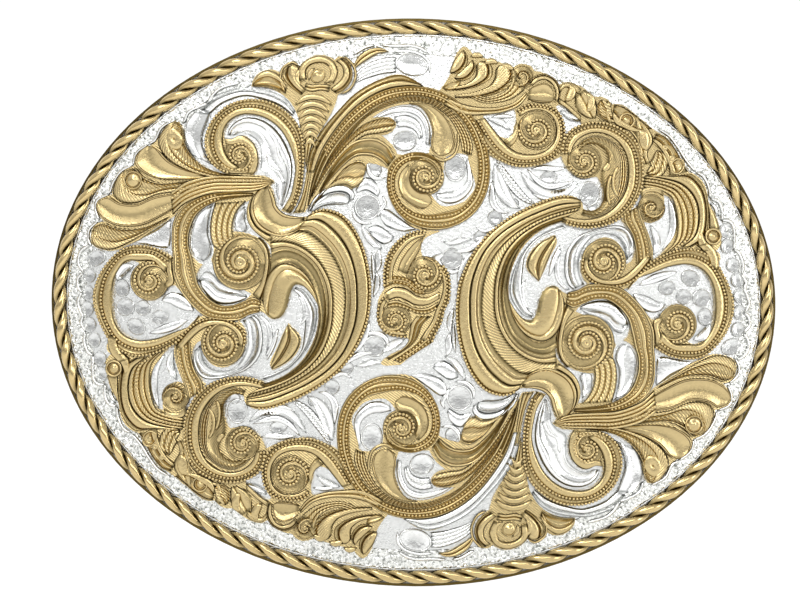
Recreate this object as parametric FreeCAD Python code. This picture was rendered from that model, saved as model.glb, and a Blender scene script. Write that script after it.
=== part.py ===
"""A western trophy belt buckle: curved oval plates, rope edge, scroll overlays, bail and hook.

Millimetres, upright as worn: X to the right as seen from the front, Z up, and the front faces -Y.
The origin is the middle of the back plate's back surface.
"""
import FreeCAD, Part
import math
import os

Vector = FreeCAD.Vector

# ---- driving dimensions (mm) ----
WIDTH = 101.6                 # four inches over the rim band
HEIGHT = 78.2
BEND_RADIUS = 220.0           # back surface, bent about an upright axis behind the buckle
BACK_THICKNESS = 1.2
FACE_THICKNESS = 0.8
OVERLAY_THICKNESS = 1.0
RIM_THICKNESS = 0.35
RIM_DEPTH = 1.9
ROPE_WIRE_RADIUS = 0.46
ROPE_WIRE_OFFSET = 0.463      # wire centre from the rope's centre line
ROPE_TURNS = 43
ROPE_POINTS_PER_TURN = 8
ASSEMBLY_GAP = 0.02           # between the rope and its neighbours

BAIL_WIRE_RADIUS = 1.2
BAIL_HINGE_X = 22.0
BAIL_HINGE_Y = 3.3
BAIL_REACH = 15.0
BAIL_ARM_Z = 22.5
BAIL_BEND_RADIUS = 2.4
BAIL_REST_ANGLE = 35.0        # degrees from +X toward +Y
HINGE_BORE_RADIUS = 1.25
HINGE_TUBE_RADIUS = 1.6
HINGE_TUBE_LENGTH = 39.0
SADDLE_Z = 12.0
SADDLE_LENGTH = 7.0
SADDLE_WIDTH = 4.6

HOOK_X = -36.0
HOOK_RADIUS = 1.8
HOOK_LENGTH = 9.5
HOOK_LEAN = 25.0              # degrees, tip toward the middle of the buckle
HOOK_BASE_HALF_X = 5.0
HOOK_BASE_HALF_Z = 3.8
HOOK_BASE_THICKNESS = 1.1
HOOK_BOSS_RADIUS = 2.6        # squared shoulder the post rises from
HOOK_BOSS_LENGTH = 1.5        # from the pad's surface along the post

FAR = 60.0                    # beyond the whole buckle, for long cutting solids

# ---- outlines of the overlays, (x, z) in mm ----
# Each is a closed loop of smooth runs; a new run starts where the last one stopped, at a corner.
MAIN_LEAF = [
    [(-20.3, 15.9), (-19.5, 14.4), (-19.1, 13.0), (-18.2, 12.0), (-17.0, 11.6), (-15.0, 11.5)],
    [(-13.5, 12.4), (-12.0, 12.6), (-10.0, 11.9), (-8.4, 10.2), (-7.2, 8.0), (-6.4, 5.5),
     (-5.9, 2.5), (-5.9, -0.5), (-6.3, -3.0), (-7.5, -6.0), (-9.3, -8.8), (-11.6, -11.0),
     (-14.5, -12.9), (-17.5, -14.3), (-20.3, -15.1), (-22.0, -15.0), (-22.9, -14.3)],
    [(-23.1, -13.5), (-22.6, -12.7), (-21.5, -12.2), (-20.1, -11.5)],
    [(-18.4, -10.8), (-16.5, -9.6), (-14.8, -7.7), (-13.6, -5.3), (-13.0, -2.8), (-13.1, -0.9),
     (-14.0, 0.7), (-15.2, 1.9), (-16.3, 2.1), (-17.0, 1.0)],
    [(-17.4, -0.8), (-18.2, -2.3), (-19.3, -2.7), (-20.3, -2.0), (-20.8, -0.5), (-20.6, 1.5),
     (-20.0, 3.5), (-19.7, 6.0)],
    [(-20.3, 7.8), (-21.6, 8.9), (-22.7, 10.0), (-23.3, 11.6), (-22.9, 13.6), (-21.8, 15.0),
     (-20.3, 15.9)],
]
UPPER_SCROLL = [
    [(-17.2, 11.9), (-16.3, 13.5), (-15.6, 16.5), (-15.5, 20.0), (-15.9, 23.0), (-17.3, 25.3),
     (-20.0, 27.1), (-23.0, 27.6), (-26.0, 26.8), (-28.3, 24.7), (-29.3, 22.0), (-28.9, 19.6),
     (-27.6, 18.0), (-25.8, 17.2)],
    [(-24.0, 17.0), (-22.4, 17.2)],
    [(-21.8, 18.5), (-21.9, 20.3), (-22.7, 21.8), (-24.2, 22.6), (-25.6, 22.0), (-26.6, 22.2)],
    [(-26.5, 23.6), (-25.4, 24.9), (-23.5, 25.5), (-21.0, 25.0), (-18.9, 23.5), (-17.5, 21.2),
     (-16.7, 18.3), (-16.9, 15.5), (-17.9, 13.2), (-18.5, 12.3)],
    [(-17.2, 11.9)],
]
LEAF_FAN = [
    [(-19.5, 16.3), (-20.5, 16.9), (-23.0, 17.1), (-26.0, 17.2)],
    [(-28.6, 17.9), (-30.6, 19.2), (-31.9, 21.0), (-32.3, 23.2), (-33.2, 24.4), (-34.6, 23.9),
     (-35.7, 22.3), (-37.1, 21.0)],
    [(-38.7, 19.7), (-39.2, 18.2)],
    [(-40.6, 17.5), (-41.8, 16.0), (-42.3, 14.1)],
    [(-43.5, 13.8), (-44.4, 13.0), (-44.2, 11.6), (-43.3, 10.4)],
    [(-44.6, 9.9), (-45.2, 8.6), (-44.9, 7.2), (-43.5, 6.5), (-41.8, 6.4), (-40.2, 7.1)],
    [(-38.3, 8.0), (-36.3, 9.4), (-34.5, 10.6), (-33.4, 11.3)],
    [(-31.8, 13.0), (-29.5, 14.0), (-26.5, 14.6), (-23.5, 14.4), (-21.4, 14.9), (-19.5, 16.3)],
]
STEM = [
    [(-22.3, 14.7), (-24.5, 14.6), (-27.0, 14.6), (-30.0, 14.0), (-32.4, 12.6), (-33.5, 10.6),
     (-33.7, 8.0), (-33.5, 5.6)],
    [(-33.8, 3.8), (-33.1, 1.8)],
    [(-31.8, 0.3), (-30.3, -1.3), (-29.0, -2.4), (-27.0, -2.9), (-24.0, -3.1)],
    [(-22.8, -2.1), (-21.6, -1.6), (-20.2, -2.2)],
    [(-20.8, -0.5), (-22.4, 0.8)],
    [(-23.2, -0.1), (-24.8, -0.8), (-26.5, -0.9), (-28.2, 0.0), (-29.4, 1.3), (-30.1, 2.4)],
    [(-30.0, 3.6), (-29.2, 4.7)],
    [(-30.6, 5.6), (-31.2, 7.2), (-31.1, 9.4), (-30.0, 11.8), (-27.7, 13.3)],
    [(-25.5, 13.9), (-23.6, 13.4), (-22.3, 14.7)],
]
SCROLL_HIGH = [
    [(-23.3, 13.6), (-24.5, 12.3), (-25.1, 10.8), (-25.1, 9.3)],
    [(-23.2, 9.1), (-21.8, 8.6)],
    [(-20.2, 7.2), (-19.7, 5.0), (-20.2, 2.0), (-20.8, -0.4)],
    [(-22.4, 0.8)],
    [(-24.4, 1.5), (-26.2, 2.2), (-27.4, 3.7), (-28.1, 5.4)],
    [(-27.8, 7.2), (-28.3, 9.0), (-28.2, 11.3), (-27.7, 13.3)],
    [(-26.5, 14.2), (-24.5, 14.2), (-23.3, 13.6)],
]
SIDE_SCROLL = [
    [(-33.5, 5.6), (-35.5, 6.7), (-38.0, 7.2), (-40.3, 6.8), (-42.3, 5.2), (-44.0, 2.7),
     (-44.7, 0.0), (-44.3, -2.2), (-43.2, -4.6)],
    [(-42.2, -5.2), (-42.5, -6.4), (-42.0, -8.0)],
    [(-40.5, -8.3), (-38.5, -8.4), (-36.0, -7.9), (-33.0, -6.3)],
    [(-31.3, -4.6), (-30.3, -3.3), (-29.2, -2.3)],
    [(-29.7, -2.0)],
    [(-31.0, -3.9), (-33.0, -4.7), (-35.3, -5.6), (-38.0, -6.0), (-40.2, -5.2), (-41.6, -3.2),
     (-42.0, -0.5), (-41.8, 2.2), (-40.8, 4.2), (-39.4, 5.0), (-38.2, 4.7)],
    [(-39.0, 3.2), (-39.0, 1.5), (-38.2, 0.1), (-36.6, -0.5), (-35.2, 0.0), (-34.4, 1.3)],
    [(-33.1, 1.8)],
    [(-33.8, 3.8), (-33.5, 5.6)],
]
SCROLL_LOW = [
    [(-24.0, -3.1), (-23.1, -4.4), (-23.0, -6.0), (-23.6, -7.7), (-24.8, -9.0), (-26.2, -9.5),
     (-27.7, -9.1), (-28.7, -8.0), (-29.1, -5.8)],
    [(-30.2, -6.6), (-30.5, -8.3), (-30.0, -10.0), (-28.5, -11.9)],
    [(-29.6, -13.2), (-31.0, -14.0)],
    [(-31.6, -12.0), (-32.6, -9.5), (-33.0, -6.4)],
    [(-31.8, -4.9), (-30.4, -3.2), (-29.0, -2.4), (-26.8, -2.8), (-24.0, -3.1)],
]
SIDE_LEAF = [
    [(-42.0, -8.0), (-42.7, -9.3), (-42.5, -11.0), (-41.7, -13.2), (-40.8, -14.8),
     (-40.4, -16.6), (-39.3, -18.2), (-38.0, -18.8)],
    [(-36.0, -18.2), (-34.0, -18.0), (-31.4, -18.6)],
    [(-31.4, -16.4), (-31.0, -14.0)],
    [(-31.3, -12.8), (-31.6, -11.9)],
    [(-33.2, -11.8), (-34.1, -12.6), (-34.5, -14.0), (-34.4, -15.6)],
    [(-35.6, -15.0), (-36.3, -13.0), (-36.3, -10.8), (-35.3, -8.8), (-34.0, -7.2), (-33.0, -6.4)],
    [(-34.5, -7.2), (-36.5, -8.1), (-38.5, -8.4), (-40.5, -8.3), (-42.0, -8.0)],
]
GREAT_SCROLL = [
    [(-20.1, -11.5), (-22.0, -10.9), (-24.0, -10.7), (-26.5, -11.2), (-28.5, -12.2),
     (-30.2, -14.0), (-31.3, -16.5), (-31.5, -19.0), (-31.0, -21.5), (-29.8, -23.5),
     (-27.5, -24.9), (-25.0, -25.4), (-22.7, -25.0), (-20.9, -23.9), (-20.2, -22.3),
     (-20.0, -20.6)],
    [(-20.6, -19.2), (-21.8, -18.1), (-23.4, -17.7), (-25.0, -17.9)],
    [(-25.6, -16.8), (-25.9, -15.4), (-25.8, -14.2)],
    [(-25.0, -13.4), (-24.0, -13.1), (-23.1, -13.5)],
    [(-22.6, -12.7), (-21.5, -12.2), (-20.1, -11.5)],
]
LESSER_SCROLL = [
    [(-20.0, -20.6), (-18.5, -19.8), (-16.5, -19.1), (-14.5, -18.9), (-12.5, -19.3),
     (-10.1, -20.4)],
    [(-9.3, -22.0), (-8.2, -23.8), (-7.0, -25.3)],
    [(-9.0, -25.9)],
    [(-10.2, -24.2), (-11.6, -23.0)],
    [(-12.9, -23.1), (-13.4, -24.5), (-13.6, -26.0), (-13.3, -27.0)],
    [(-15.0, -27.7), (-17.0, -27.6), (-19.0, -27.4)],
    [(-19.8, -26.2), (-20.3, -24.5), (-20.4, -22.5), (-20.0, -20.6)],
]
EDGE_LEAVES_SIDE = [
    [(-38.0, -18.8), (-36.9, -20.3), (-35.8, -22.2), (-34.5, -23.7)],
    [(-33.0, -24.5), (-31.5, -25.7)],
    [(-30.0, -26.8), (-28.5, -27.8), (-26.9, -27.9)],
    [(-25.8, -28.8), (-24.5, -28.9)],
    [(-23.2, -29.8), (-21.7, -30.6), (-20.4, -30.8), (-19.5, -30.3)],
    [(-19.3, -29.0), (-19.2, -27.7)],
    [(-20.5, -27.2), (-21.8, -26.1), (-22.9, -25.1)],
    [(-25.5, -23.5), (-30.0, -21.5), (-31.3, -18.3)],
    [(-34.0, -17.8), (-36.0, -18.0), (-38.0, -18.8)],
]
EDGE_LEAVES_BASE = [
    [(-19.2, -27.4), (-19.8, -29.0), (-19.4, -30.6), (-18.4, -31.5), (-17.2, -32.0),
     (-16.0, -32.2)],
    [(-15.4, -32.9), (-14.2, -33.1), (-13.0, -32.6)],
    [(-11.8, -33.1), (-10.3, -33.5), (-9.0, -33.8), (-7.8, -33.7)],
    [(-7.1, -34.8), (-6.3, -35.3), (-5.3, -34.4), (-4.8, -32.8)],
    [(-4.2, -31.0), (-3.2, -29.5), (-2.1, -28.1)],
    [(-4.5, -26.8), (-6.5, -25.5), (-9.0, -25.9)],
    [(-11.0, -26.2), (-13.3, -26.8)],
    [(-15.0, -27.4), (-17.0, -27.3), (-19.2, -27.4)],
]
FLOWER = [
    [(-22.9, 29.3), (-22.3, 30.9), (-20.8, 31.7), (-19.0, 31.3)],
    [(-18.0, 32.3), (-16.4, 32.2)],
    [(-15.2, 33.3), (-13.2, 33.8), (-11.6, 33.1)],
    [(-10.4, 33.6), (-9.3, 32.5), (-9.0, 30.8), (-10.0, 29.1), (-11.0, 28.3)],
    [(-12.0, 25.5), (-13.8, 22.5), (-15.1, 18.0)],
    [(-15.6, 20.5), (-16.2, 24.4)],
    [(-17.0, 26.5), (-18.5, 28.2), (-20.5, 29.1), (-22.9, 29.3)],
]
CROWN_SCROLL = [
    [(-16.9, 11.9), (-15.9, 13.8), (-15.2, 17.0), (-14.6, 20.5), (-13.0, 23.5), (-11.0, 26.0),
     (-8.5, 28.6), (-5.5, 30.4), (-2.5, 31.3), (-0.3, 30.5), (0.9, 29.7)],
    [(3.5, 29.0), (6.0, 27.4), (8.2, 25.0), (9.6, 22.2), (10.2, 19.0), (10.1, 16.5), (9.2, 13.9),
     (7.4, 11.7), (5.0, 10.4), (3.0, 10.0)],
    [(1.2, 9.9)],
    [(-0.8, 10.7), (-2.4, 12.3), (-3.6, 14.2), (-4.0, 16.5), (-3.9, 18.3)],
    [(-5.2, 18.8), (-6.6, 19.1)],
    [(-7.1, 17.8), (-7.5, 16.3), (-8.7, 15.5), (-10.0, 16.1)],
    [(-12.0, 15.6), (-13.8, 14.2), (-15.2, 12.1)],
    [(-16.9, 11.9)],
]
CROWN_WINDOWS = [
    [
        [(-6.2, 25.3), (-4.0, 26.6), (-1.5, 27.2), (0.3, 26.9), (1.5, 25.4), (2.1, 23.3),
         (1.9, 21.5), (1.7, 20.6)],
        [(0.0, 20.4), (-2.6, 20.3)],
        [(-3.2, 21.4), (-4.2, 22.4), (-5.0, 23.0)],
        [(-3.4, 23.5), (-2.9, 24.5), (-3.4, 25.2), (-4.6, 25.4), (-6.2, 25.3)],
    ],
    [
        [(4.1, 20.1), (5.6, 20.6), (7.1, 20.4)],
        [(7.4, 19.0), (8.0, 17.2), (8.2, 16.3), (7.6, 15.0), (6.5, 13.9), (5.0, 13.4), (3.5, 13.4),
         (2.6, 14.2), (2.1, 14.9)],
        [(3.0, 15.7), (3.7, 17.0), (3.8, 18.3), (4.1, 20.1)],
    ],
]
CENTRE_SCROLL = [
    [(1.6, 9.9), (0.2, 9.8), (-1.3, 9.2), (-2.8, 7.9), (-3.8, 6.2), (-4.2, 4.0), (-4.1, 1.6)],
    [(-4.8, 0.4), (-5.0, -1.4), (-4.8, -3.1), (-3.9, -4.2), (-2.6, -4.7), (-0.7, -4.9)],
    [(-0.6, -5.6), (-1.3, -6.3), (-2.8, -7.1), (-4.2, -8.2), (-1.6, -8.6)],
    [(0.0, -7.3), (1.2, -6.5), (2.7, -5.5)],
    [(3.1, -4.4), (3.9, -2.7), (4.3, -0.9)],
    [(4.9, 0.4), (5.0, 2.2), (4.8, 3.8), (4.1, 5.0), (2.8, 5.6), (1.5, 6.0)],
    [(1.0, 6.7), (0.9, 7.7), (1.6, 9.0), (3.4, 9.8), (1.6, 9.9)],
]
EDGE_SLIVER = [
    [(-9.0, 32.0), (-8.3, 33.6), (-6.8, 34.7), (-5.2, 34.9), (-4.1, 34.4)],
    [(-5.6, 34.0), (-7.3, 33.0), (-9.0, 32.0)],
]
LEAF_ISLAND = [
    [(-17.2, -3.2), (-16.3, -4.0), (-15.5, -5.0), (-15.5, -6.2), (-16.2, -7.6), (-17.5, -8.8),
     (-19.3, -9.7)],
    [(-19.6, -9.0), (-18.8, -6.9), (-18.0, -4.9), (-17.2, -3.2)],
]

# Motifs that come in pairs, half a turn apart, in the order they are laid: an earlier one lies
# whole and a later one is cut to meet it edge to edge.
PAIRED_OVERLAYS = [
    ("main_leaf", MAIN_LEAF, []),
    ("scroll_low", SCROLL_LOW, []),
    ("crown_scroll", CROWN_SCROLL, CROWN_WINDOWS),
    ("upper_scroll", UPPER_SCROLL, []),
    ("great_scroll", GREAT_SCROLL, []),
    ("side_scroll", SIDE_SCROLL, []),
    ("stem", STEM, []),
    ("leaf_fan", LEAF_FAN, []),
    ("scroll_high", SCROLL_HIGH, []),
    ("lesser_scroll", LESSER_SCROLL, []),
    ("side_leaf", SIDE_LEAF, []),
    ("edge_leaves_side", EDGE_LEAVES_SIDE, []),
    ("edge_leaves_base", EDGE_LEAVES_BASE, []),
    ("flower", FLOWER, []),
    ("edge_sliver", EDGE_SLIVER, []),
    ("leaf_island", LEAF_ISLAND, []),
]
PAIR_SUFFIXES = ("_1", "_2")   # _1 as drawn above, _2 half a turn away


def back_y(x, height=0.0):
    """Y of the bent surface a given height in front of the back surface."""
    return BEND_RADIUS - math.sqrt((BEND_RADIUS + height) ** 2 - x * x)


def ellipse_face(half_x, half_z):
    """A filled ellipse in the plane y = 0."""
    curve = Part.Ellipse(Vector(half_x, 0, 0), Vector(0, 0, half_z), Vector(0, 0, 0))
    return Part.Face(Part.Wire([curve.toShape()]))


def outline_face(runs):
    """A face in the plane y = 0 inside a closed loop of smooth runs."""
    edges = []
    last = None
    for run in runs:
        points = [Vector(x, 0, z) for x, z in run]
        if last is not None:
            points.insert(0, last)
        if len(points) == 2:
            edges.append(Part.LineSegment(points[0], points[1]).toShape())
        else:
            curve = Part.BSplineCurve()
            curve.interpolate(points)
            edges.append(curve.toShape())
        last = points[-1]
    return Part.Face(Part.Wire(edges))


def biggest(shape, kind):
    """The largest face or solid of a shape."""
    if kind == "face":
        return max(shape.Faces, key=lambda piece: piece.Area)
    return max(shape.Solids, key=lambda piece: piece.Volume)


def shell(bottom, top):
    """The bent layer between two heights above the back surface."""
    base = Vector(0, BEND_RADIUS, -FAR)
    outer = Part.makeCylinder(BEND_RADIUS + top, 2 * FAR, base, Vector(0, 0, 1))
    inner = Part.makeCylinder(BEND_RADIUS + bottom, 2 * FAR, base, Vector(0, 0, 1))
    front = Part.makeBox(2 * FAR, 40, 2 * FAR, Vector(-FAR, -20, -FAR))
    return outer.cut(inner).common(front)


def bent(face, bottom, top):
    """A flat outline carried onto the bent layer between two heights."""
    prism = face.translated(Vector(0, -15, 0)).extrude(Vector(0, 30, 0))
    return biggest(prism.common(shell(bottom, top)), "solid")


def back_plate():
    """The nickel back plate that carries everything else."""
    face = ellipse_face(WIDTH / 2 - RIM_THICKNESS, HEIGHT / 2 - RIM_THICKNESS)
    return bent(face, 0, BACK_THICKNESS)


def rim_band():
    """The thin band round the edge, outside the rope."""
    outer = ellipse_face(WIDTH / 2, HEIGHT / 2)
    inner = ellipse_face(WIDTH / 2 - RIM_THICKNESS, HEIGHT / 2 - RIM_THICKNESS)
    return bent(outer.cut(inner), 0, RIM_DEPTH)


def rope_radius():
    """Half the rope's whole diameter."""
    return ROPE_WIRE_RADIUS + ROPE_WIRE_OFFSET


def rope_half_axes():
    """Half axes of the rope's centre line, seen from the front."""
    inset = RIM_THICKNESS + rope_radius() + ASSEMBLY_GAP
    return WIDTH / 2 - inset, HEIGHT / 2 - inset


def face_plate():
    """The silver plate inside the rope that the overlays are laid on."""
    half_x, half_z = rope_half_axes()
    inset = rope_radius() + ASSEMBLY_GAP
    face = ellipse_face(half_x - inset, half_z - inset)
    return bent(face, BACK_THICKNESS, BACK_THICKNESS + FACE_THICKNESS)


def rope_centre(angle):
    """A point of the rope's centre line."""
    half_x, half_z = rope_half_axes()
    x = half_x * math.cos(angle)
    height = BACK_THICKNESS + ASSEMBLY_GAP + rope_radius()
    return Vector(x, back_y(x, height), half_z * math.sin(angle))


def rope_angles(count):
    """Angles at equal distances along the rope's centre line."""
    fine = 2000
    lengths = [0.0]
    for step in range(fine):
        a = 2 * math.pi * step / fine
        b = 2 * math.pi * (step + 1) / fine
        lengths.append(lengths[-1] + (rope_centre(b) - rope_centre(a)).Length)
    angles = []
    step = 0
    for index in range(count + 1):
        target = lengths[-1] * index / count
        while step < fine - 1 and lengths[step + 1] < target:
            step += 1
        part = (target - lengths[step]) / (lengths[step + 1] - lengths[step])
        angles.append(2 * math.pi * (step + part) / fine)
    return angles


def rope_strand(phase):
    """One of the two wires twisted into the rope; its ends butt together."""
    count = ROPE_TURNS * ROPE_POINTS_PER_TURN
    angles = rope_angles(count)
    angles[-1] -= 0.0002
    points = []
    for index, angle in enumerate(angles):
        centre = rope_centre(angle)
        along = (rope_centre(angle + 0.0001) - rope_centre(angle - 0.0001)).normalize()
        ahead = Vector(centre.x, centre.y - BEND_RADIUS, 0).normalize()
        side = along.cross(ahead).normalize()
        ahead = side.cross(along).normalize()
        turn = phase - 2 * math.pi * index / ROPE_POINTS_PER_TURN
        shift = side * math.cos(turn) + ahead * math.sin(turn)
        points.append(centre + shift * ROPE_WIRE_OFFSET)
    curve = Part.BSplineCurve()
    curve.interpolate(points)
    first = curve.FirstParameter
    span = curve.LastParameter - first
    marks = [first + span * k / ROPE_TURNS for k in range(ROPE_TURNS + 1)]
    path = Part.Wire([curve.toShape(a, b) for a, b in zip(marks[:-1], marks[1:])])
    ring = Part.makeCircle(ROPE_WIRE_RADIUS, curve.value(first), curve.tangent(first)[0])
    return path.makePipeShell([Part.Wire([ring])], True, True)


def overlays():
    """Every overlay as (node name, solid), cut so that neighbours meet face to face."""
    bottom = BACK_THICKNESS + FACE_THICKNESS
    top = bottom + OVERLAY_THICKNESS
    turn = (Vector(0, 0, 0), Vector(0, 1, 0), 180)
    laid = [("centre_scroll", outline_face(CENTRE_SCROLL))]
    for name, runs, windows in PAIRED_OVERLAYS:
        left = outline_face(runs)
        for window in windows:
            left = left.cut(outline_face(window))
        right = left.copy()
        right.rotate(*turn)
        for suffix, face in zip(PAIR_SUFFIXES, (left, right)):
            for _, other in laid:
                if face.BoundBox.intersect(other.BoundBox):
                    face = biggest(face.cut(other), "face")
            laid.append((name + suffix, face))
    return [(name, bent(face, bottom, top)) for name, face in laid]


def hinge_tube():
    """The tube soldered across the back that the bail turns in."""
    base = Vector(BAIL_HINGE_X, BAIL_HINGE_Y, -HINGE_TUBE_LENGTH / 2)
    outer = Part.makeCylinder(HINGE_TUBE_RADIUS, HINGE_TUBE_LENGTH, base)
    bore = Part.makeCylinder(HINGE_BORE_RADIUS, HINGE_TUBE_LENGTH, base)
    return outer.cut(bore)


def hinge_saddle(middle_z):
    """A block between the tube and the back plate, hollowed to cradle the tube."""
    low = Vector(BAIL_HINGE_X - SADDLE_WIDTH / 2, -5, middle_z - SADDLE_LENGTH / 2)
    block = Part.makeBox(SADDLE_WIDTH, 5 + BAIL_HINGE_Y, SADDLE_LENGTH, low)
    base = Vector(0, BEND_RADIUS, -FAR)
    behind = Part.makeCylinder(BEND_RADIUS, 2 * FAR, base, Vector(0, 0, 1))
    axis = Vector(BAIL_HINGE_X, BAIL_HINGE_Y, -FAR)
    tube = Part.makeCylinder(HINGE_TUBE_RADIUS, 2 * FAR, axis)
    return biggest(block.common(behind).cut(tube), "solid")


def bail_loop():
    """The wire loop the strap is folded round, at its resting angle."""
    reach, arm, bend = BAIL_REACH, BAIL_ARM_Z, BAIL_BEND_RADIUS
    half = bend * math.sqrt(0.5)
    corners = [(0, -arm), (reach, -arm), (reach, arm), (0, arm)]
    edges = []
    inward = [(1, 1), (-1, 1), (-1, -1), (1, -1)]
    starts = [(0, bend), (-bend, 0), (0, -bend), (bend, 0)]
    ends = [(bend, 0), (0, bend), (-bend, 0), (0, -bend)]
    knots = []
    for (x, z), (sx, sz), start, end in zip(corners, inward, starts, ends):
        a = Vector(x + start[0], 0, z + start[1])
        middle = Vector(x + sx * (bend - half), 0, z + sz * (bend - half))
        b = Vector(x + end[0], 0, z + end[1])
        edges.append(Part.Arc(a, middle, b).toShape())
        knots.append((a, b))
    for index in range(4):
        start = knots[index][1]
        end = knots[(index + 1) % 4][0]
        edges.append(Part.LineSegment(start, end).toShape())
    path = Part.Wire(Part.__sortEdges__(edges))
    first = path.OrderedEdges[0]
    at = first.valueAt(first.FirstParameter)
    ring = Part.makeCircle(BAIL_WIRE_RADIUS, at, first.tangentAt(first.FirstParameter))
    loop = path.makePipeShell([Part.Wire([ring])], True, False)
    loop.rotate(Vector(0, 0, 0), Vector(0, 0, 1), BAIL_REST_ANGLE)
    loop.translate(Vector(BAIL_HINGE_X, BAIL_HINGE_Y, 0))
    return loop


def hook_line():
    """Where the post's axis meets the pad's surface, and the axis's direction."""
    root = Vector(HOOK_X, back_y(HOOK_X) + HOOK_BASE_THICKNESS, 0)
    lean = math.radians(HOOK_LEAN)
    return root, Vector(math.sin(lean), math.cos(lean), 0)


def hook_base():
    """The oval pad on the back, with a shoulder squared to the leaning post."""
    face = ellipse_face(HOOK_BASE_HALF_X, HOOK_BASE_HALF_Z).translated(Vector(HOOK_X, 0, 0))
    pad = bent(face, -HOOK_BASE_THICKNESS, 0)
    root, along = hook_line()
    sunk = 2 * HOOK_BOSS_RADIUS
    boss = Part.makeCylinder(HOOK_BOSS_RADIUS, HOOK_BOSS_LENGTH + sunk, root - along * sunk, along)
    base = Vector(0, BEND_RADIUS, -FAR)
    behind = Part.makeCylinder(BEND_RADIUS - HOOK_BASE_THICKNESS / 2, 2 * FAR, base, Vector(0, 0, 1))
    return biggest(pad.fuse(boss.common(behind)).removeSplitter(), "solid")


def hook_post():
    """The leaning round post that goes through a hole of the strap."""
    root, along = hook_line()
    straight = HOOK_LENGTH - HOOK_RADIUS - HOOK_BOSS_LENGTH
    post = Part.makeCylinder(HOOK_RADIUS, straight, root + along * HOOK_BOSS_LENGTH, along)
    tip = Part.makeSphere(HOOK_RADIUS, root + along * (HOOK_LENGTH - HOOK_RADIUS))
    return biggest(post.fuse(tip).removeSplitter(), "solid")


def build():
    """All nodes by name."""
    nodes = {
        "back_plate": back_plate(),
        "rim_band": rim_band(),
        "face_plate": face_plate(),
        "rope_strand_a": rope_strand(0),
        "rope_strand_b": rope_strand(math.pi),
        "hinge_tube": hinge_tube(),
        "hinge_saddle_upper": hinge_saddle(SADDLE_Z),
        "hinge_saddle_lower": hinge_saddle(-SADDLE_Z),
        "bail_loop": bail_loop(),
        "hook_base": hook_base(),
        "hook_post": hook_post(),
    }
    nodes.update(overlays())
    return nodes


os.makedirs("parts", exist_ok=True)
for node, shape in build().items():
    shape.exportStep("parts/" + node + ".step")
    print(node, shape.ShapeType, shape.isValid(), round(shape.Volume, 2))
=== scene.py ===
"""The belt buckle's looks: chased relief on its overlays and face, rope edge, metals, light, camera.

Plan points are (x, z) in millimetres seen from the front; heights are millimetres above the back
plate's back surface, which is bent about an upright axis. The meshes are in metres, in the CAD frame.
"""

import math

import bpy
import numpy as np
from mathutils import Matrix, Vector


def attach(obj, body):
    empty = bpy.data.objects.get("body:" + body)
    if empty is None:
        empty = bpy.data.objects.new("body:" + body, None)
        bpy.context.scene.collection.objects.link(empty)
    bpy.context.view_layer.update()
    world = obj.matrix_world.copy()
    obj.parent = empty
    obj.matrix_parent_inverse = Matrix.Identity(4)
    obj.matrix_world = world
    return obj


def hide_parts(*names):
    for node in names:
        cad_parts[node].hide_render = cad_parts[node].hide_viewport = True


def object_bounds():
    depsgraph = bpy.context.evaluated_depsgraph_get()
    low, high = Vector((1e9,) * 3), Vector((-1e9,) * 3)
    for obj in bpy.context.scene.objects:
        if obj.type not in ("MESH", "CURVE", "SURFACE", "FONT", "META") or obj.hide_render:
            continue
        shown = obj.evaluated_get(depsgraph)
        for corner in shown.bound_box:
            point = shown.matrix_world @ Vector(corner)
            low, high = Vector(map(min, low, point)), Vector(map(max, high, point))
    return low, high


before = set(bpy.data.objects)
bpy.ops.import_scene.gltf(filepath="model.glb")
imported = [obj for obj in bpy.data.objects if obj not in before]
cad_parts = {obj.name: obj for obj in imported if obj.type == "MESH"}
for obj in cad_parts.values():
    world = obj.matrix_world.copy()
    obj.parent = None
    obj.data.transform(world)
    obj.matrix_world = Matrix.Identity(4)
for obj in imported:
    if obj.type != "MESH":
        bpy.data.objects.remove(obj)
cad_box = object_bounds()

# ---- the object's own dimensions (mm), as in the CAD model ----
BEND_RADIUS = 220.0
WIDTH = 101.6
HEIGHT = 78.2
SILVER_TOP = 2.0
SILVER_RELIEF_TOP = 2.62
OVERLAY_TOP = 3.0
HIGHEST = 3.05                # nothing chased stands higher, so the rope stays foremost
GOLD_GROUND = 2.42            # the overlays' flat ground between raised shapes
SINK = 0.12                   # how far a raised shape's border goes below its ground
BORDER_INNER = (45.7, 34.0)   # the stippled border's half width and half height, inside
BORDER_OUTER = (48.5, 36.8)   # and outside
ROPE_TURNS = 43
ROPE_ROWS = 22                # rows of points in one turn of the rope
ROPE_RADIUS = 0.923
ROPE_HEIGHT = 2.143           # the rope's centre line above the back surface
RIM_INSET = 1.293             # the rope's centre line inside the outline
STEP = 0.24                   # spacing of the relief's points along a shape
BEAD_PITCH = 0.5
BEAD_RADIUS = 0.23
HATCH_PITCH = 0.36
FOOT_PAINTED_SHADE = -0.1          # painted shade, with some patina, along the foot of every raised shape
FOOT_SHARE = 0.12             # painted shade, lighter, just above it

# ---- light and camera ----
TENT_DARK = 0.31              # brightness of the gaps in the tent before the buckle
TENT_BRIGHT = 0.50            # and of its cloth
SKY_LEAST = -0.28             # added to light from below
SKY_EXTRA = 0.45              # and to light from above
BACKDROP = 1.05               # brightness behind the buckle
FLOOR_GAP = 0.012             # metres from the buckle's lowest point down to the floor
FLOOR_HALF = 6.0
BUCKLE_SHARE = 0.91675        # of the picture's width, taken by the buckle
SHIFT_X = -0.016875           # the camera's shift, in picture widths
SHIFT_Y = 0.003
ROLL = -1.13                  # the camera's lean, in degrees

rng = np.random.default_rng(7)


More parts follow.
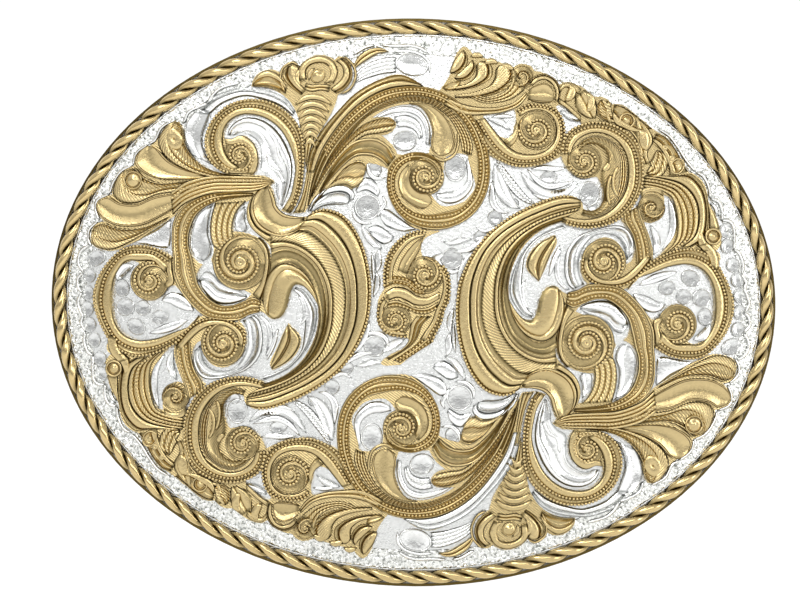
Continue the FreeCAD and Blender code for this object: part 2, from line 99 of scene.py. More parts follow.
# ---------------------------------------------------------------- curves in plan
def curve(points, count=None):
    """A smooth curve through the points, sampled at equal distances."""
    pts = np.array(points, float)
    ctrl = np.vstack([2 * pts[0] - pts[1], pts, 2 * pts[-1] - pts[-2]])
    t = np.linspace(0, 1, 13)[:-1, None]
    parts = []
    for a, b, c, d in zip(ctrl[:-3], ctrl[1:-2], ctrl[2:-1], ctrl[3:]):
        parts.append(
            0.5 * (2 * b + (c - a) * t + (2 * a - 5 * b + 4 * c - d) * t ** 2
                   + (3 * b - a - 3 * c + d) * t ** 3)
        )
    parts.append(ctrl[-2][None])
    fine = np.vstack(parts)
    lengths = np.r_[0, np.cumsum(np.linalg.norm(np.diff(fine, axis=0), axis=1))]
    if count is None:
        count = max(5, int(lengths[-1] / STEP) + 1)
    at = np.linspace(0, lengths[-1], count)
    return np.column_stack([np.interp(at, lengths, fine[:, k]) for k in (0, 1)])


def beside(points, offset):
    """A curve shifted to its left by an offset that may vary along it."""
    d = np.gradient(points, axis=0)
    d /= np.maximum(np.linalg.norm(d, axis=1, keepdims=True), 1e-9)
    normal = np.column_stack([-d[:, 1], d[:, 0]])
    return points + normal * np.asarray(offset).reshape(-1, 1)


# ---------------------------------------------------------------- cross-sections
def round_top(u):
    return np.sqrt(np.maximum(0, 1 - (2 * u - 1) ** 2))


def dished(u):
    return 1 - np.sin(np.pi * u)


def rising(u):
    return 0.5 - 0.5 * np.cos(np.pi * u)


def falling(u):
    return 1 - rising(u)


def section(*bands):
    """Heights across a shape from bands of (share, form, low, high, samples)."""
    total = sum(band[0] for band in bands)
    ts, hs = [], []
    start = 0.0
    for share, form, low, high, samples in bands:
        u = np.linspace(0.0, 1.0, samples)
        ts.append((start + u * share) / total)
        hs.append(low + (high - low) * form(u))
        start += share
    return np.concatenate(ts), np.concatenate(hs)


def flutes(count, low=0.35, high=0.9, samples=6):
    return section(*[(1, round_top, low, high, samples)] * count)


CUSHION = section((1, round_top, 0.1, 1.0, 11))
SOFT = section((0.12, rising, 0.2, 0.8, 4), (0.76, round_top, 0.8, 1.0, 7), (0.12, falling, 0.2, 0.8, 4))
DISH = section((0.1, round_top, 0.4, 1.0, 5), (0.8, dished, 0.38, 0.84, 11),
               (0.1, round_top, 0.4, 1.0, 5))
SCOOP = section((0.14, round_top, 0.5, 1.0, 5), (0.7, dished, 0.26, 0.9, 10),
                (0.16, round_top, 0.3, 0.8, 5))
EDGED = section((0.24, dished, 0.25, 0.6, 6), (0.06, rising, 0.3, 0.7, 3), (0.7, round_top, 0.45, 1.0, 9))
BEADED = section((0.12, round_top, 0.3, 0.85, 5), (0.26, dished, 0.25, 0.6, 6),
                 (0.08, round_top, 0.3, 0.75, 4), (0.54, round_top, 0.4, 0.95, 8))
RAILS = section((0.14, round_top, 0.3, 0.9, 5), (0.24, dished, 0.2, 0.55, 5),
                (0.24, round_top, 0.4, 1.0, 6), (0.24, dished, 0.2, 0.55, 5),
                (0.14, round_top, 0.3, 0.9, 5))
LEAF = section((0.08, round_top, 0.4, 0.9, 4), (0.07, dished, 0.2, 0.6, 4), (0.45, dished, 0.3, 0.95, 8),
               (0.4, round_top, 0.45, 1.0, 8))
BOWL = section((0.15, round_top, 0.2, 0.62, 5), (0.85, falling, 0.15, 0.27, 7))
VOLUTE = section((0.2, round_top, 0.35, 0.85, 5), (0.08, dished, 0.2, 0.4, 4),
                 (0.72, round_top, 0.4, 1.0, 8))
LOW_BOSS = section((0.12, round_top, 0.2, 0.45, 4), (0.88, rising, 0.25, 0.4, 4))


# ---------------------------------------------------------------- relief as a mesh
class Relief:
    """Raised shapes gathered in plan, each a closed surface standing on its ground."""

    def __init__(self, ground, top):
        self.ground = ground
        self.top = top
        self.points = []
        self.faces = []
        self.chase = []
        self.count = 0

    def add(self, points, chase, faces):
        """Takes plan points (x, z, height), their chase data and faces numbered from 0."""
        self.points.append(points)
        self.chase.append(chase)
        self.faces += [[i + self.count for i in face] for face in faces]
        self.count += len(points)

    def grid(self, x, z, h, s, t, hatch):
        """A closed surface from a grid of points, its border dropped to the ground."""
        rows, cols = x.shape
        wide = [np.pad(v, 1, mode="edge") for v in (x, z, h, s, t)]
        border = np.ones((rows + 2, cols + 2), bool)
        border[1:-1, 1:-1] = False
        wide[2][border] = self.ground - SINK
        rows, cols = rows + 2, cols + 2
        # Colour by height: low parts are painted darker, and the foot of every shape gets a dark line
        # (painted shade with some patina).
        level_share = (wide[2] - self.ground) / (self.top - self.ground)
        foot = np.ones((rows, cols), bool)
        foot[3:-3, 3:-3] = False
        level_share[foot] = np.minimum(level_share[foot], FOOT_SHARE)
        foot[2:-2, 2:-2] = False
        level_share[foot] = FOOT_PAINTED_SHADE
        points = np.column_stack([v.ravel() for v in wide[:3]])
        strength = np.full(rows * cols, hatch)
        chase = np.column_stack([wide[3].ravel(), wide[4].ravel(), level_share.ravel(), strength])
        index = np.arange(rows * cols).reshape(rows, cols)
        quads = np.stack([index[:-1, :-1], index[1:, :-1], index[1:, 1:], index[:-1, 1:]], -1)
        faces = quads.reshape(-1, 4).tolist()
        low, high = index[1:-2, 0], index[1:-2, -1]
        under = np.stack([low, high, index[2:-1, -1], index[2:-1, 0]], -1)
        faces += under.tolist()
        faces.append(index[0].tolist() + [index[1, -1], index[1, 0]])
        faces.append(index[-1][::-1].tolist() + [index[-2, 0], index[-2, -1]])
        self.add(points, chase, faces)

    def ribbon(self, side_a, side_b, form=CUSHION, rise=1.0, lift=0.0, hatch=0.0, beads=()):
        """A band between two sides; form gives the height across it from side a to side b."""
        a, b = curve(side_a, 200), curve(side_b, 200)
        middle = (a + b) / 2
        length = np.linalg.norm(np.diff(middle, axis=0), axis=1).sum()
        count = max(6, int(length / STEP))
        a, b = curve(side_a, count), curve(side_b, count)
        t, h = form
        width = np.linalg.norm(a - b, axis=1)
        fade = np.clip(width / (0.55 * width.max()), 0.12, 1.0) ** 0.6
        x = a[:, :1] * (1 - t) + b[:, :1] * t
        z = a[:, 1:] * (1 - t) + b[:, 1:] * t
        span = (self.top - self.ground) * rise
        height = self.ground + lift + span * fade[:, None] * h[None, :]
        s = np.linspace(0, length, count)[:, None] * np.ones_like(t)[None]
        across = width[:, None] * (t[None] - 0.5)
        self.grid(x, z, height, s, across, hatch)
        for place in beads:
            path = a * (1 - place) + b * place
            base = self.ground + lift + span * fade * np.interp(place, t, h)
            keep = width > 0.55 * np.median(width)
            if keep.sum() > 3:
                self.bead_row(path[keep], base[keep])

    def bead_row(self, path, base):
        """Small round grains along a path."""
        lengths = np.r_[0, np.cumsum(np.linalg.norm(np.diff(path, axis=0), axis=1))]
        count = int(lengths[-1] / BEAD_PITCH)
        if count < 1:
            return
        at = (np.arange(count) + 0.5) * lengths[-1] / count
        xs = np.interp(at, lengths, path[:, 0])
        zs = np.interp(at, lengths, path[:, 1])
        hs = np.interp(at, lengths, base)
        for x, z, h in zip(xs, zs, hs):
            self.grain(x, z, h, BEAD_RADIUS)

    def grain(self, x, z, h, radius):
        """One grain: a low dome of eight sides."""
        turn = np.arange(8) * math.pi / 4
        rings = ((1.0, -0.3), (0.92, 0.45), (0.55, 0.85))
        points = [(x + radius * r * math.cos(a), z + radius * r * math.sin(a), h + radius * u)
                  for r, u in rings for a in turn]
        points.append((x, z, h + radius))
        faces = [list(range(7, -1, -1))]
        for ring in range(2):
            for k in range(8):
                n = (k + 1) % 8
                faces.append([ring * 8 + k, ring * 8 + n, ring * 8 + 8 + n, ring * 8 + 8 + k])
        faces += [[16 + k, 16 + (k + 1) % 8, 24] for k in range(8)]
        points = np.array(points)
        # Painted shade at each grain's foot and a painted highlight on its top.
        share = np.clip((np.arange(25) // 8) * 0.5, FOOT_PAINTED_SHADE, 1.0)
        chase = np.column_stack([points[:, 0], points[:, 1], share, np.zeros(25)])
        self.add(points, chase, faces)

    def line(self, points, width, rise, lift=0.0):
        """A raised line of even width, pointed at its ends."""
        spine = curve(points)
        t = np.linspace(0, 1, len(spine))
        half = width / 2 * np.minimum(1, np.sin(np.pi * t) * 3 + 0.15)
        self.ribbon(beside(spine, half), beside(spine, -half), CUSHION, rise, lift)

    def leaf(self, points, width, form, rise=0.8, lift=0.0, hatch=0.0):
        """A blade along a line, fullest halfway and pointed at both ends."""
        spine = curve(points)
        t = np.linspace(0, 1, len(spine))
        half = width / 2 * np.maximum(np.sin(np.pi * t) ** 0.7, 0.04)
        self.ribbon(beside(spine, half), beside(spine, -half), form, rise, lift, hatch)

    def disc(self, cx, cz, radius, form, rise=1.0, lift=0.0, squash=1.0, turn=0.0, hatch=0.0):
        """A round or oval boss; form runs from its rim to its middle."""
        t, h = form
        count = max(16, int(2 * math.pi * radius / STEP))
        angle = np.linspace(0, 2 * math.pi, count, endpoint=False)
        r = radius * (1 - t)
        keep = r > 0.02 * radius
        h, r = h[keep], r[keep]
        span = (self.top - self.ground) * rise
        height = self.ground + lift + span * h
        r = np.r_[r[0], r]
        height = np.r_[self.ground - SINK, height]
        u = np.cos(angle)[:, None] * r
        v = np.sin(angle)[:, None] * r * squash
        c, s = math.cos(math.radians(turn)), math.sin(math.radians(turn))
        x, z = cx + c * u - s * v, cz + s * u + c * v
        hh = np.ones((count, 1)) * height
        # Colour by height, with painted shade on the rim at its foot.
        share = (hh - self.ground) / (self.top - self.ground)
        share[:, :2] = FOOT_PAINTED_SHADE
        points = np.column_stack([x.ravel(), z.ravel(), hh.ravel()])
        along = (angle[:, None] * r).ravel()
        across = (np.ones((count, 1)) * r).ravel()
        chase = np.column_stack([along, across, share.ravel(), np.full(along.size, hatch)])
        cols = len(r)
        index = np.arange(count * cols).reshape(count, cols)
        nxt = np.roll(index, -1, axis=0)
        quads = np.stack([index[:, :-1], nxt[:, :-1], nxt[:, 1:], index[:, 1:]], -1)
        faces = quads.reshape(-1, 4).tolist()
        faces.append(index[::-1, 0].tolist())
        faces.append(index[:, -1].tolist())
        self.add(points, chase, faces)

    def curl(self, cx, cz, radius, start, sense=1, winds=1.5, hatch=0.6, beads=(0.1,)):
        """A volute: a band winding inward round an eye, on a low boss."""
        self.disc(cx, cz, radius, LOW_BOSS, 0.9, hatch=hatch)
        t = np.linspace(0, 1, 31)
        a = np.radians(start + sense * 360 * winds * t)
        outer = radius * (1 - 0.72 * t)
        width = radius * (0.08 + 0.3 * np.minimum(1, 5 * t)) * (1 - 0.35 * t)
        inner = np.maximum(outer - width, 0.03 * radius)
        self.ribbon(np.column_stack([cx + outer * np.cos(a), cz + outer * np.sin(a)]),
                    np.column_stack([cx + inner * np.cos(a), cz + inner * np.sin(a)]),
                    VOLUTE, 0.95, 0.0, hatch, beads)
        self.disc(cx, cz, 0.22 * radius, SOFT, 0.8)


def bent(points):
    """Plan points (x, z, height) in mm carried to the bent surface, in metres."""
    x, z, h = points[:, 0], points[:, 1], points[:, 2]
    y = BEND_RADIUS - np.sqrt((BEND_RADIUS + h) ** 2 - x * x)
    return np.column_stack([x, y, z]) / 1000


def make_mesh(name, points, faces, chase, smooth_angle=50):
    """A mesh object from points in metres, shaded smooth but for its sharp edges."""
    mesh = bpy.data.meshes.new(name)
    mesh.from_pydata(points.tolist(), [], faces)
    mesh.update()
    attribute = mesh.attributes.new("chase", "FLOAT_COLOR", "POINT")
    attribute.data.foreach_set("color", chase.astype(np.float32).ravel())
    mesh.shade_smooth()
    mesh.set_sharp_from_angle(angle=math.radians(smooth_angle))
    piece = bpy.data.objects.new(name, mesh)
    bpy.context.scene.collection.objects.link(piece)
    return piece


def finish_piece(piece, material, node=None):
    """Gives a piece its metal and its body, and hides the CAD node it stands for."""
    piece.data.materials.append(material)
    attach(piece, "buckle")
    if node is not None:
        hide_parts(node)


# ---------------------------------------------------------------- the chased motifs
def draw_main_leaf(r):
    edge = [
        (-14.9, 11.6), (-13.5, 12.4), (-12, 12.6), (-10, 11.9), (-8.4, 10.2), (-7.2, 8), (-6.4, 5.5),
        (-5.9, 2.5), (-5.9, -0.5), (-6.3, -3), (-7.5, -6), (-9.3, -8.8), (-11.6, -11), (-14.5, -12.9),
        (-17.5, -14.3), (-20.3, -15.1), (-22.7, -14.7)
    ]
    first = [
        (-15.1, 11), (-13.2, 11.1), (-11.4, 9.9), (-9.8, 8.1), (-8.7, 6), (-8, 3.4), (-7.8, 1),
        (-7.8, -1.6), (-8.3, -4.2), (-9.6, -7.2), (-11.7, -9.6), (-14.4, -11.5), (-17.3, -12.9),
        (-20, -13.9), (-22.8, -14.2)
    ]
    second = [
        (-16.6, 9.4), (-14.8, 9.4), (-12.6, 7.8), (-11, 5.9), (-9.9, 3.7), (-9.4, 1.4), (-9.4, -1.2),
        (-9.8, -3.8), (-11, -6.6), (-13, -9), (-15.6, -10.9), (-18.2, -12.2), (-20.6, -13), (-22.8, -13.6)
    ]
    third = [
        (-19.9, 7.9), (-17.7, 8), (-15.5, 7.3), (-13.4, 5.7), (-11.9, 3.4), (-11.2, 1), (-11.1, -1.6),
        (-11.4, -4.2), (-12.5, -7.1), (-14.4, -9.4), (-16.9, -11.1), (-19.4, -12.2), (-22.6, -13.2)
    ]
    fourth = [
        (-19.7, 6.1), (-18, 6.7), (-15.9, 6.2), (-14, 4.7), (-12.8, 2.6), (-12.2, 0.2), (-12.1, -2.3),
        (-12.6, -5), (-13.8, -7.5), (-15.8, -9.6), (-18, -10.9), (-20.3, -11.7)
    ]
    inner = [
        (-17.4, -0.9), (-17, 1), (-16.3, 2.1), (-15.2, 1.9), (-14, 0.7), (-13.1, -0.9), (-13, -2.8),
        (-13.6, -5.3), (-14.8, -7.7), (-16.5, -9.6), (-18.4, -10.8), (-20.1, -11.5)
    ]
    r.ribbon(
        edge, first,
        section((0.13, round_top, 0.3, 0.8, 5), (0.05, dished, 0.2, 0.5, 3),
                (0.82, round_top, 0.45, 1.0, 10)), 0.95, beads=(0.07,))
    r.ribbon(first, second, section((0.6, round_top, 0.45, 0.95, 8), (0.4, dished, 0.3, 0.7, 6)), 0.85)
    r.ribbon(
        [(-19.9, 9.6), (-18.4, 9.5)] + second,
        third, section((1, round_top, 0.45, 0.8, 11)), 0.7, hatch=1)
    r.ribbon(third, fourth, section((0.55, round_top, 0.35, 1.0, 8), (0.45, dished, 0.25, 0.6, 5)), 0.95)
    r.ribbon(
        fourth,
        [(-19.9, 3.9), (-18.5, 5), (-16.9, 5.1), (-15.2, 4), (-13.9, 2.2), (-13.2, 0.2), (-12.8, -2.4),
         (-13.3, -5.2), (-14.4, -7.6), (-16.2, -9.6), (-18.2, -10.9), (-20.2, -11.6)],
        section((1, dished, 0.05, 0.6, 9)), 0.8)
    r.ribbon(
        [(-20.3, -1.9), (-20.8, -0.3), (-20.7, 1.6), (-19.9, 3.7), (-18.5, 4.9), (-16.9, 4.9),
         (-15.2, 3.9), (-13.9, 2.1), (-13.2, 0.2), (-12.8, -2.4), (-13.3, -5.2), (-14.4, -7.6),
         (-16.2, -9.6), (-18.2, -10.9), (-20.2, -11.6)],
        [(-19.3, -2.7), (-18.2, -2.3)] + inner,
        section((0.3, round_top, 0.4, 1.0, 6), (0.7, round_top, 0.5, 0.9, 8)), 0.9)
    r.ribbon(
        [(-20.3, 15.8), (-19.5, 14.3), (-19.1, 13), (-18.2, 12), (-17, 11.6), (-15.2, 11.4)],
        [(-21.5, 15.2), (-22.5, 13.9), (-22.8, 12), (-22, 10.2), (-20.5, 9.1), (-18.6, 8.6), (-16.6, 9.2),
         (-15.2, 10.4)],
        SCOOP, 1.0)
    r.ribbon(
        [(-21.5, 15.2), (-22.5, 13.9), (-22.8, 12), (-22, 10.2), (-20.5, 9.1), (-19.4, 8.7)],
        [(-21.8, 15), (-22.9, 13.6), (-23.3, 11.6), (-22.7, 10), (-21.6, 8.9), (-20.2, 8)],
        CUSHION, 0.7)


def draw_upper_scroll(r):
    r.ribbon(
        [(-17.2, 11.9), (-16.3, 13.5), (-15.6, 16.5), (-15.5, 20), (-15.9, 23), (-17.3, 25.3), (-20, 27.1),
         (-23, 27.6), (-26, 26.8), (-28.3, 24.7), (-29.3, 22), (-28.9, 19.6), (-27.6, 18), (-25.9, 17.3)],
        [(-18.3, 12.5), (-17.4, 14), (-16.9, 16), (-16.7, 18.5), (-17.5, 21.2), (-18.9, 23.5), (-21, 25),
         (-23.5, 25.5), (-25.4, 24.9), (-26.5, 23.6), (-26.8, 21.9), (-26.4, 20.3), (-25.5, 19),
         (-24.4, 18.2)],
        BEADED, 0.9, beads=(0.06, 0.42))
    r.ribbon(
        [(-26.6, 22.2), (-25.6, 22.1), (-24.2, 22.6), (-22.7, 21.8), (-21.9, 20.3), (-21.8, 18.5),
         (-22.4, 17.2)],
        [(-26.4, 21.4), (-25.4, 21.2), (-24.3, 21.3), (-23.3, 20.7), (-23, 19.8), (-23, 18.6),
         (-23.4, 17.3)],
        SOFT, 0.8)
    r.curl(-24.4, 19.8, 2.4, 240)
    r.ribbon(
        [(-27.4, 18), (-25.6, 17.3), (-22.6, 17.3)],
        [(-26.6, 18.9), (-25, 18.2), (-22.6, 17.9)],
        SOFT, 0.6, beads=(0.5,))


def draw_leaf_fan(r):
    r.ribbon(
        [(-24, 17.1), (-27, 17.4), (-29.5, 18.4), (-31.2, 20), (-32.1, 21.7), (-32.3, 23.3),
         (-33.2, 24.3)],
        [(-26, 16.6), (-29, 16.9), (-31.8, 17.7), (-34.2, 19), (-35.6, 20.6), (-35.8, 22.2), (-34.7, 23.8),
         (-33.6, 24.4)],
        LEAF, 0.9, hatch=0.6)
    r.disc(-33.6, 22.0, 1.25, SOFT, 0.7, 0.1, 1.35, 30)
    r.ribbon(
        [(-28.5, 16.9), (-31.5, 17.6), (-34, 18.8), (-35.7, 20.4), (-37, 21)],
        [(-29, 16.6), (-33, 16.3), (-36, 16.5), (-38.2, 17.5), (-39.1, 18.7), (-38.6, 20), (-37.4, 21)],
        DISH, 1.0)
    r.ribbon(
        [(-30, 16.6), (-33.2, 16), (-35.6, 15.9), (-37.6, 16.7), (-39, 17.9), (-40.3, 17.6)],
        [(-30, 15.2), (-33, 14.7), (-36, 14.2), (-38.6, 13.1), (-40.8, 13.1), (-42.1, 14.2), (-41.8, 16),
         (-40.7, 17.4)],
        LEAF, 0.8, hatch=0.6)
    r.disc(
        -39.3, 16.2, 1.35,
        section((0.25, round_top, 0.3, 0.9, 5), (0.12, dished, 0.2, 0.6, 4), (0.63, rising, 0.5, 1.0, 5)),
        0.95, 0.12)
    r.ribbon(
        [(-32, 14.6), (-36, 14), (-38.6, 12.9), (-41, 13), (-42.7, 13.8), (-44.1, 13.3)],
        [(-32.6, 13), (-34.8, 11.5), (-37.8, 10), (-41, 9.8), (-43.2, 10.6), (-44.3, 11.8), (-44.4, 12.8)],
        DISH, 0.9)
    r.ribbon(
        [(-34, 11.3), (-37.6, 9.7), (-41, 9.5), (-43.3, 10.2), (-44.7, 9.7)],
        [(-34.6, 10.7), (-36.8, 9.3), (-39.6, 7.6), (-41.8, 6.6), (-43.6, 6.6), (-44.9, 7.3),
         (-45.1, 8.8)],
        LEAF, 0.8, hatch=1)
    r.ribbon(
        [(-19.6, 16.3), (-21.5, 16.9), (-25, 17), (-28, 17), (-31.5, 16.2), (-34, 14.6)],
        [(-19.7, 16.1), (-21.8, 15), (-25, 14.7), (-28.5, 14.4), (-31.8, 13.1), (-33.6, 11.5)],
        flutes(5), 0.75, 0.08, beads=(0.3,))


def draw_stem(r):
    r.ribbon(
        [(-22.4, 14.7), (-26, 14.7), (-29.5, 14.1), (-32.2, 12.6), (-33.5, 10.6), (-33.7, 8), (-33.5, 5.6),
         (-33.4, 3.2), (-32.4, 1), (-30.6, -1.1), (-28.8, -2.5), (-26.5, -3), (-24.2, -3), (-22.6, -2.2),
         (-21.2, -1.8)],
        [(-22.4, 14.2), (-25.5, 13.8), (-27.7, 13.3), (-30, 11.8), (-31.1, 9.4), (-31.2, 7.2),
         (-30.7, 5.5), (-30.2, 3.5), (-29.6, 1.6), (-28.2, 0), (-26.5, -0.9), (-24.8, -0.8), (-23.2, -0.1),
         (-22, 0.3), (-21, -0.2)],
        RAILS, 0.85, beads=(0.26, 0.74))


def draw_scroll_high(r):
    r.curl(-24.0, 5.1, 3.9, 60, 1, 1.9, 0.5)
    r.ribbon(
        [(-21.3, 8.6), (-20.2, 7.2), (-19.8, 5), (-20.2, 2), (-20.8, -0.3)],
        [(-22, 8.3), (-20.9, 7), (-20.6, 5), (-21.1, 2.4), (-22.2, 0.7)],
        EDGED, 0.8)
    r.ribbon(
        [(-23.4, 13.5), (-24.5, 12.3), (-25.1, 10.8), (-25.2, 9.3), (-24.9, 8.4)],
        [(-27.7, 13.2), (-28.2, 11.3), (-28.3, 9), (-27.9, 7.4), (-27.2, 6.8)],
        flutes(4), 0.8, hatch=0.4)


def draw_side_scroll(r):
    r.ribbon(
        [(-33.5, 5.6), (-35.5, 6.7), (-38, 7.2), (-40.3, 6.8), (-42.3, 5.2), (-44, 2.7), (-44.7, 0),
         (-44.3, -2.2), (-43.2, -4.6), (-41.7, -6.8), (-39, -8.2), (-36, -7.9), (-33, -6.4), (-31.2, -4.6),
         (-29.6, -2.6)],
        [(-34.6, 3.4), (-36.2, 4.9), (-38.2, 5), (-39.8, 5), (-40.8, 4.2), (-41.8, 2.2), (-42, -0.5),
         (-41.6, -3.2), (-40.2, -5.2), (-38, -6), (-35.3, -5.6), (-33, -4.7), (-31, -3.9), (-29.6, -2.2)],
        BEADED, 0.85, beads=(0.06, 0.42))
    r.curl(-36.7, 2.3, 2.75, 30)
    r.ribbon(
        [(-42.3, -5.3), (-42.5, -6.4), (-42, -8), (-40.8, -9.2)],
        [(-41.2, -5.9), (-40.9, -6.9), (-40.2, -7.9), (-39.2, -8.6)],
        SOFT, 1.0, 0.05)
    r.ribbon(
        [(-34.3, 1.2), (-33.2, 2), (-33.5, 3.8), (-33.6, 5.4)],
        [(-34.6, 1.8), (-34.2, 2.6), (-34.4, 3.8), (-34.9, 5)],
        CUSHION, 0.7)


def draw_scroll_low(r):
    r.curl(-26.2, -6.2, 3.1, 80, 1, 1.7)
    r.ribbon(
        [(-33, -6.4), (-31.8, -4.9), (-30.4, -3.5), (-28.6, -2.7), (-26.4, -2.7), (-24.3, -3.4),
         (-23.1, -5), (-23.2, -6.6)],
        [(-32, -7.2), (-30.8, -5.8), (-29.4, -4.5), (-27.9, -3.8), (-26.2, -3.7), (-24.8, -4.4),
         (-24.1, -5.4), (-24, -6.4)],
        EDGED, 0.9, beads=(0.13,))
    r.ribbon(
        [(-33, -6.4), (-32.7, -8.6), (-32, -10.8), (-31.3, -12.6), (-31, -14)],
        [(-30.8, -5.8), (-30.5, -8.3), (-30, -10), (-29, -11.6), (-28.8, -12.8)],
        RAILS, 0.8, beads=(0.26, 0.7))


def draw_side_leaf(r):
    first = [
        (-37, -8.4), (-38.8, -9.9), (-39.4, -12), (-39.2, -14.3), (-38.2, -16.1), (-36.5, -17.3),
        (-34, -17.9), (-31.6, -18.2)
    ]
    second = [
        (-34.5, -7.4), (-36, -9), (-36.4, -11), (-36.2, -13.2), (-35.5, -15.2), (-34.3, -16), (-33, -16.4),
        (-31.4, -16.6)
    ]
    r.ribbon(
        [(-38.6, -8.5), (-40.3, -9.7), (-40.8, -12), (-40.7, -14.6), (-40, -16.9), (-38.4, -18.5),
         (-36, -18.3), (-33.5, -18.2)],
        first, EDGED, 0.8)
    r.ribbon(first, second, flutes(4, 0.3, 0.95, 7), 0.85, hatch=0.3, beads=(0.37,))
    r.disc(
        -41.5, -10.0, 1.25,
        section((0.35, round_top, 0.3, 0.9, 5), (0.15, dished, 0.15, 0.5, 4), (0.5, rising, 0.4, 1.0, 5)),
        0.9, 0.1)
    r.ribbon(
        [(-42.5, -11), (-41.9, -12.6), (-41.2, -14), (-40.7, -14.9)],
        [(-40.9, -11.1), (-40.9, -12.4), (-40.8, -13.6), (-40.5, -14.8)],
        CUSHION, 0.7)
    r.ribbon(
        [(-42, -8), (-40.9, -8.8), (-40.2, -9.9), (-39.9, -11)],
        [(-40, -7.9), (-39.3, -8.9), (-39.3, -10), (-39.6, -11)],
        SOFT, 0.9, 0.1)
    r.curl(-32.7, -13.7, 1.95, 200, -1, 1.2, 1.0, ())
    r.ribbon(
        [(-34.3, -15.4), (-33.3, -15.9), (-32, -15.8), (-31.2, -15)],
        [(-34.2, -16.3), (-33, -16.7), (-31.8, -16.6), (-31.2, -16.2)],
        SOFT, 0.7)


def draw_great_scroll(r):
    outer = [
        (-20.1, -11.5), (-22, -10.9), (-24, -10.7), (-26.5, -11.2), (-28.5, -12.2), (-30.2, -14),
        (-31.3, -16.5), (-31.5, -19), (-31, -21.5), (-29.8, -23.5), (-27.5, -24.9), (-25, -25.4),
        (-22.7, -25), (-20.9, -23.9), (-20.1, -22.2), (-20.1, -20.8)
    ]
    ring = [
        (-20.6, -12.3), (-22.5, -12), (-24.5, -12.1), (-26.3, -12.8), (-27.9, -14.2), (-29, -16.2),
        (-29.3, -18.6), (-29, -20.8), (-28, -22.5), (-26.4, -23.6), (-24.6, -23.9), (-23, -23.4),
        (-21.8, -22.3), (-21.3, -20.9)
    ]
    r.ribbon(outer, ring, BEADED, 0.9, beads=(0.06, 0.42))
    r.ribbon(
        [(-22.9, -12.5), (-24.6, -12.2), (-26.3, -12.9), (-27.9, -14.3), (-28.9, -16.3), (-29.2, -18.6),
         (-28.8, -20.8), (-27.8, -22.3), (-26.2, -23.3), (-24.5, -23.6), (-23, -23), (-22, -22)],
        [(-23.2, -13.3), (-24.6, -13.1), (-25.7, -14.2), (-25.9, -15.8), (-25.7, -17.2), (-25.7, -18.5),
         (-26.3, -19.6), (-26.4, -20.8), (-25.7, -21.8), (-24.6, -22.3), (-23.4, -22.2), (-22.4, -21.4)],
        section((0.1, round_top, 0.3, 0.7, 4), (0.1, round_top, 0.3, 0.75, 4),
                (0.1, round_top, 0.3, 0.8, 4), (0.7, dished, 0.15, 0.9, 9)), 0.95, hatch=0.3)
    r.line([(-28, -15), (-27.3, -16.4), (-27.3, -18), (-27.9, -19.4)], 0.5, 0.5, 0.25)
    r.line([(-26.9, -13.9), (-26.5, -15.4), (-26.6, -17), (-27, -18.2)], 0.45, 0.5, 0.25)
    r.curl(-23.2, -19.9, 2.4, -30)
    r.leaf([(-25.6, -18.6), (-26.4, -19.2), (-26.5, -20)], 0.8, SOFT, 0.8, 0.2)


def draw_lesser_scroll(r):
    r.ribbon(
        [(-7.6, -25), (-9, -22.4), (-10.4, -20.5), (-12.4, -19.3), (-14.5, -18.9), (-17, -19.3),
         (-19, -20.2), (-20.2, -22), (-20.4, -24), (-19.9, -26), (-18.6, -27.2), (-16.8, -27.6),
         (-15, -27.5), (-13.7, -26.7)],
        [(-9.3, -25.6), (-10.6, -24), (-11.7, -22.7), (-13, -21.4), (-14.5, -20.8), (-16.5, -20.8),
         (-18.2, -21.6), (-19.1, -23.1), (-19.1, -24.9), (-18.3, -26.2), (-16.9, -26.8), (-15.5, -26.6),
         (-14.2, -25.9)],
        BEADED, 0.85, beads=(0.06, 0.42))
    r.curl(-16.5, -24.0, 2.7, -45)
    r.ribbon(
        [(-12.9, -21.6), (-13.6, -22.4), (-14, -23.4), (-13.9, -24.4)],
        [(-12, -22.6), (-12.9, -23.2), (-13.4, -24.1), (-13.6, -25.4)],
        SOFT, 0.8)


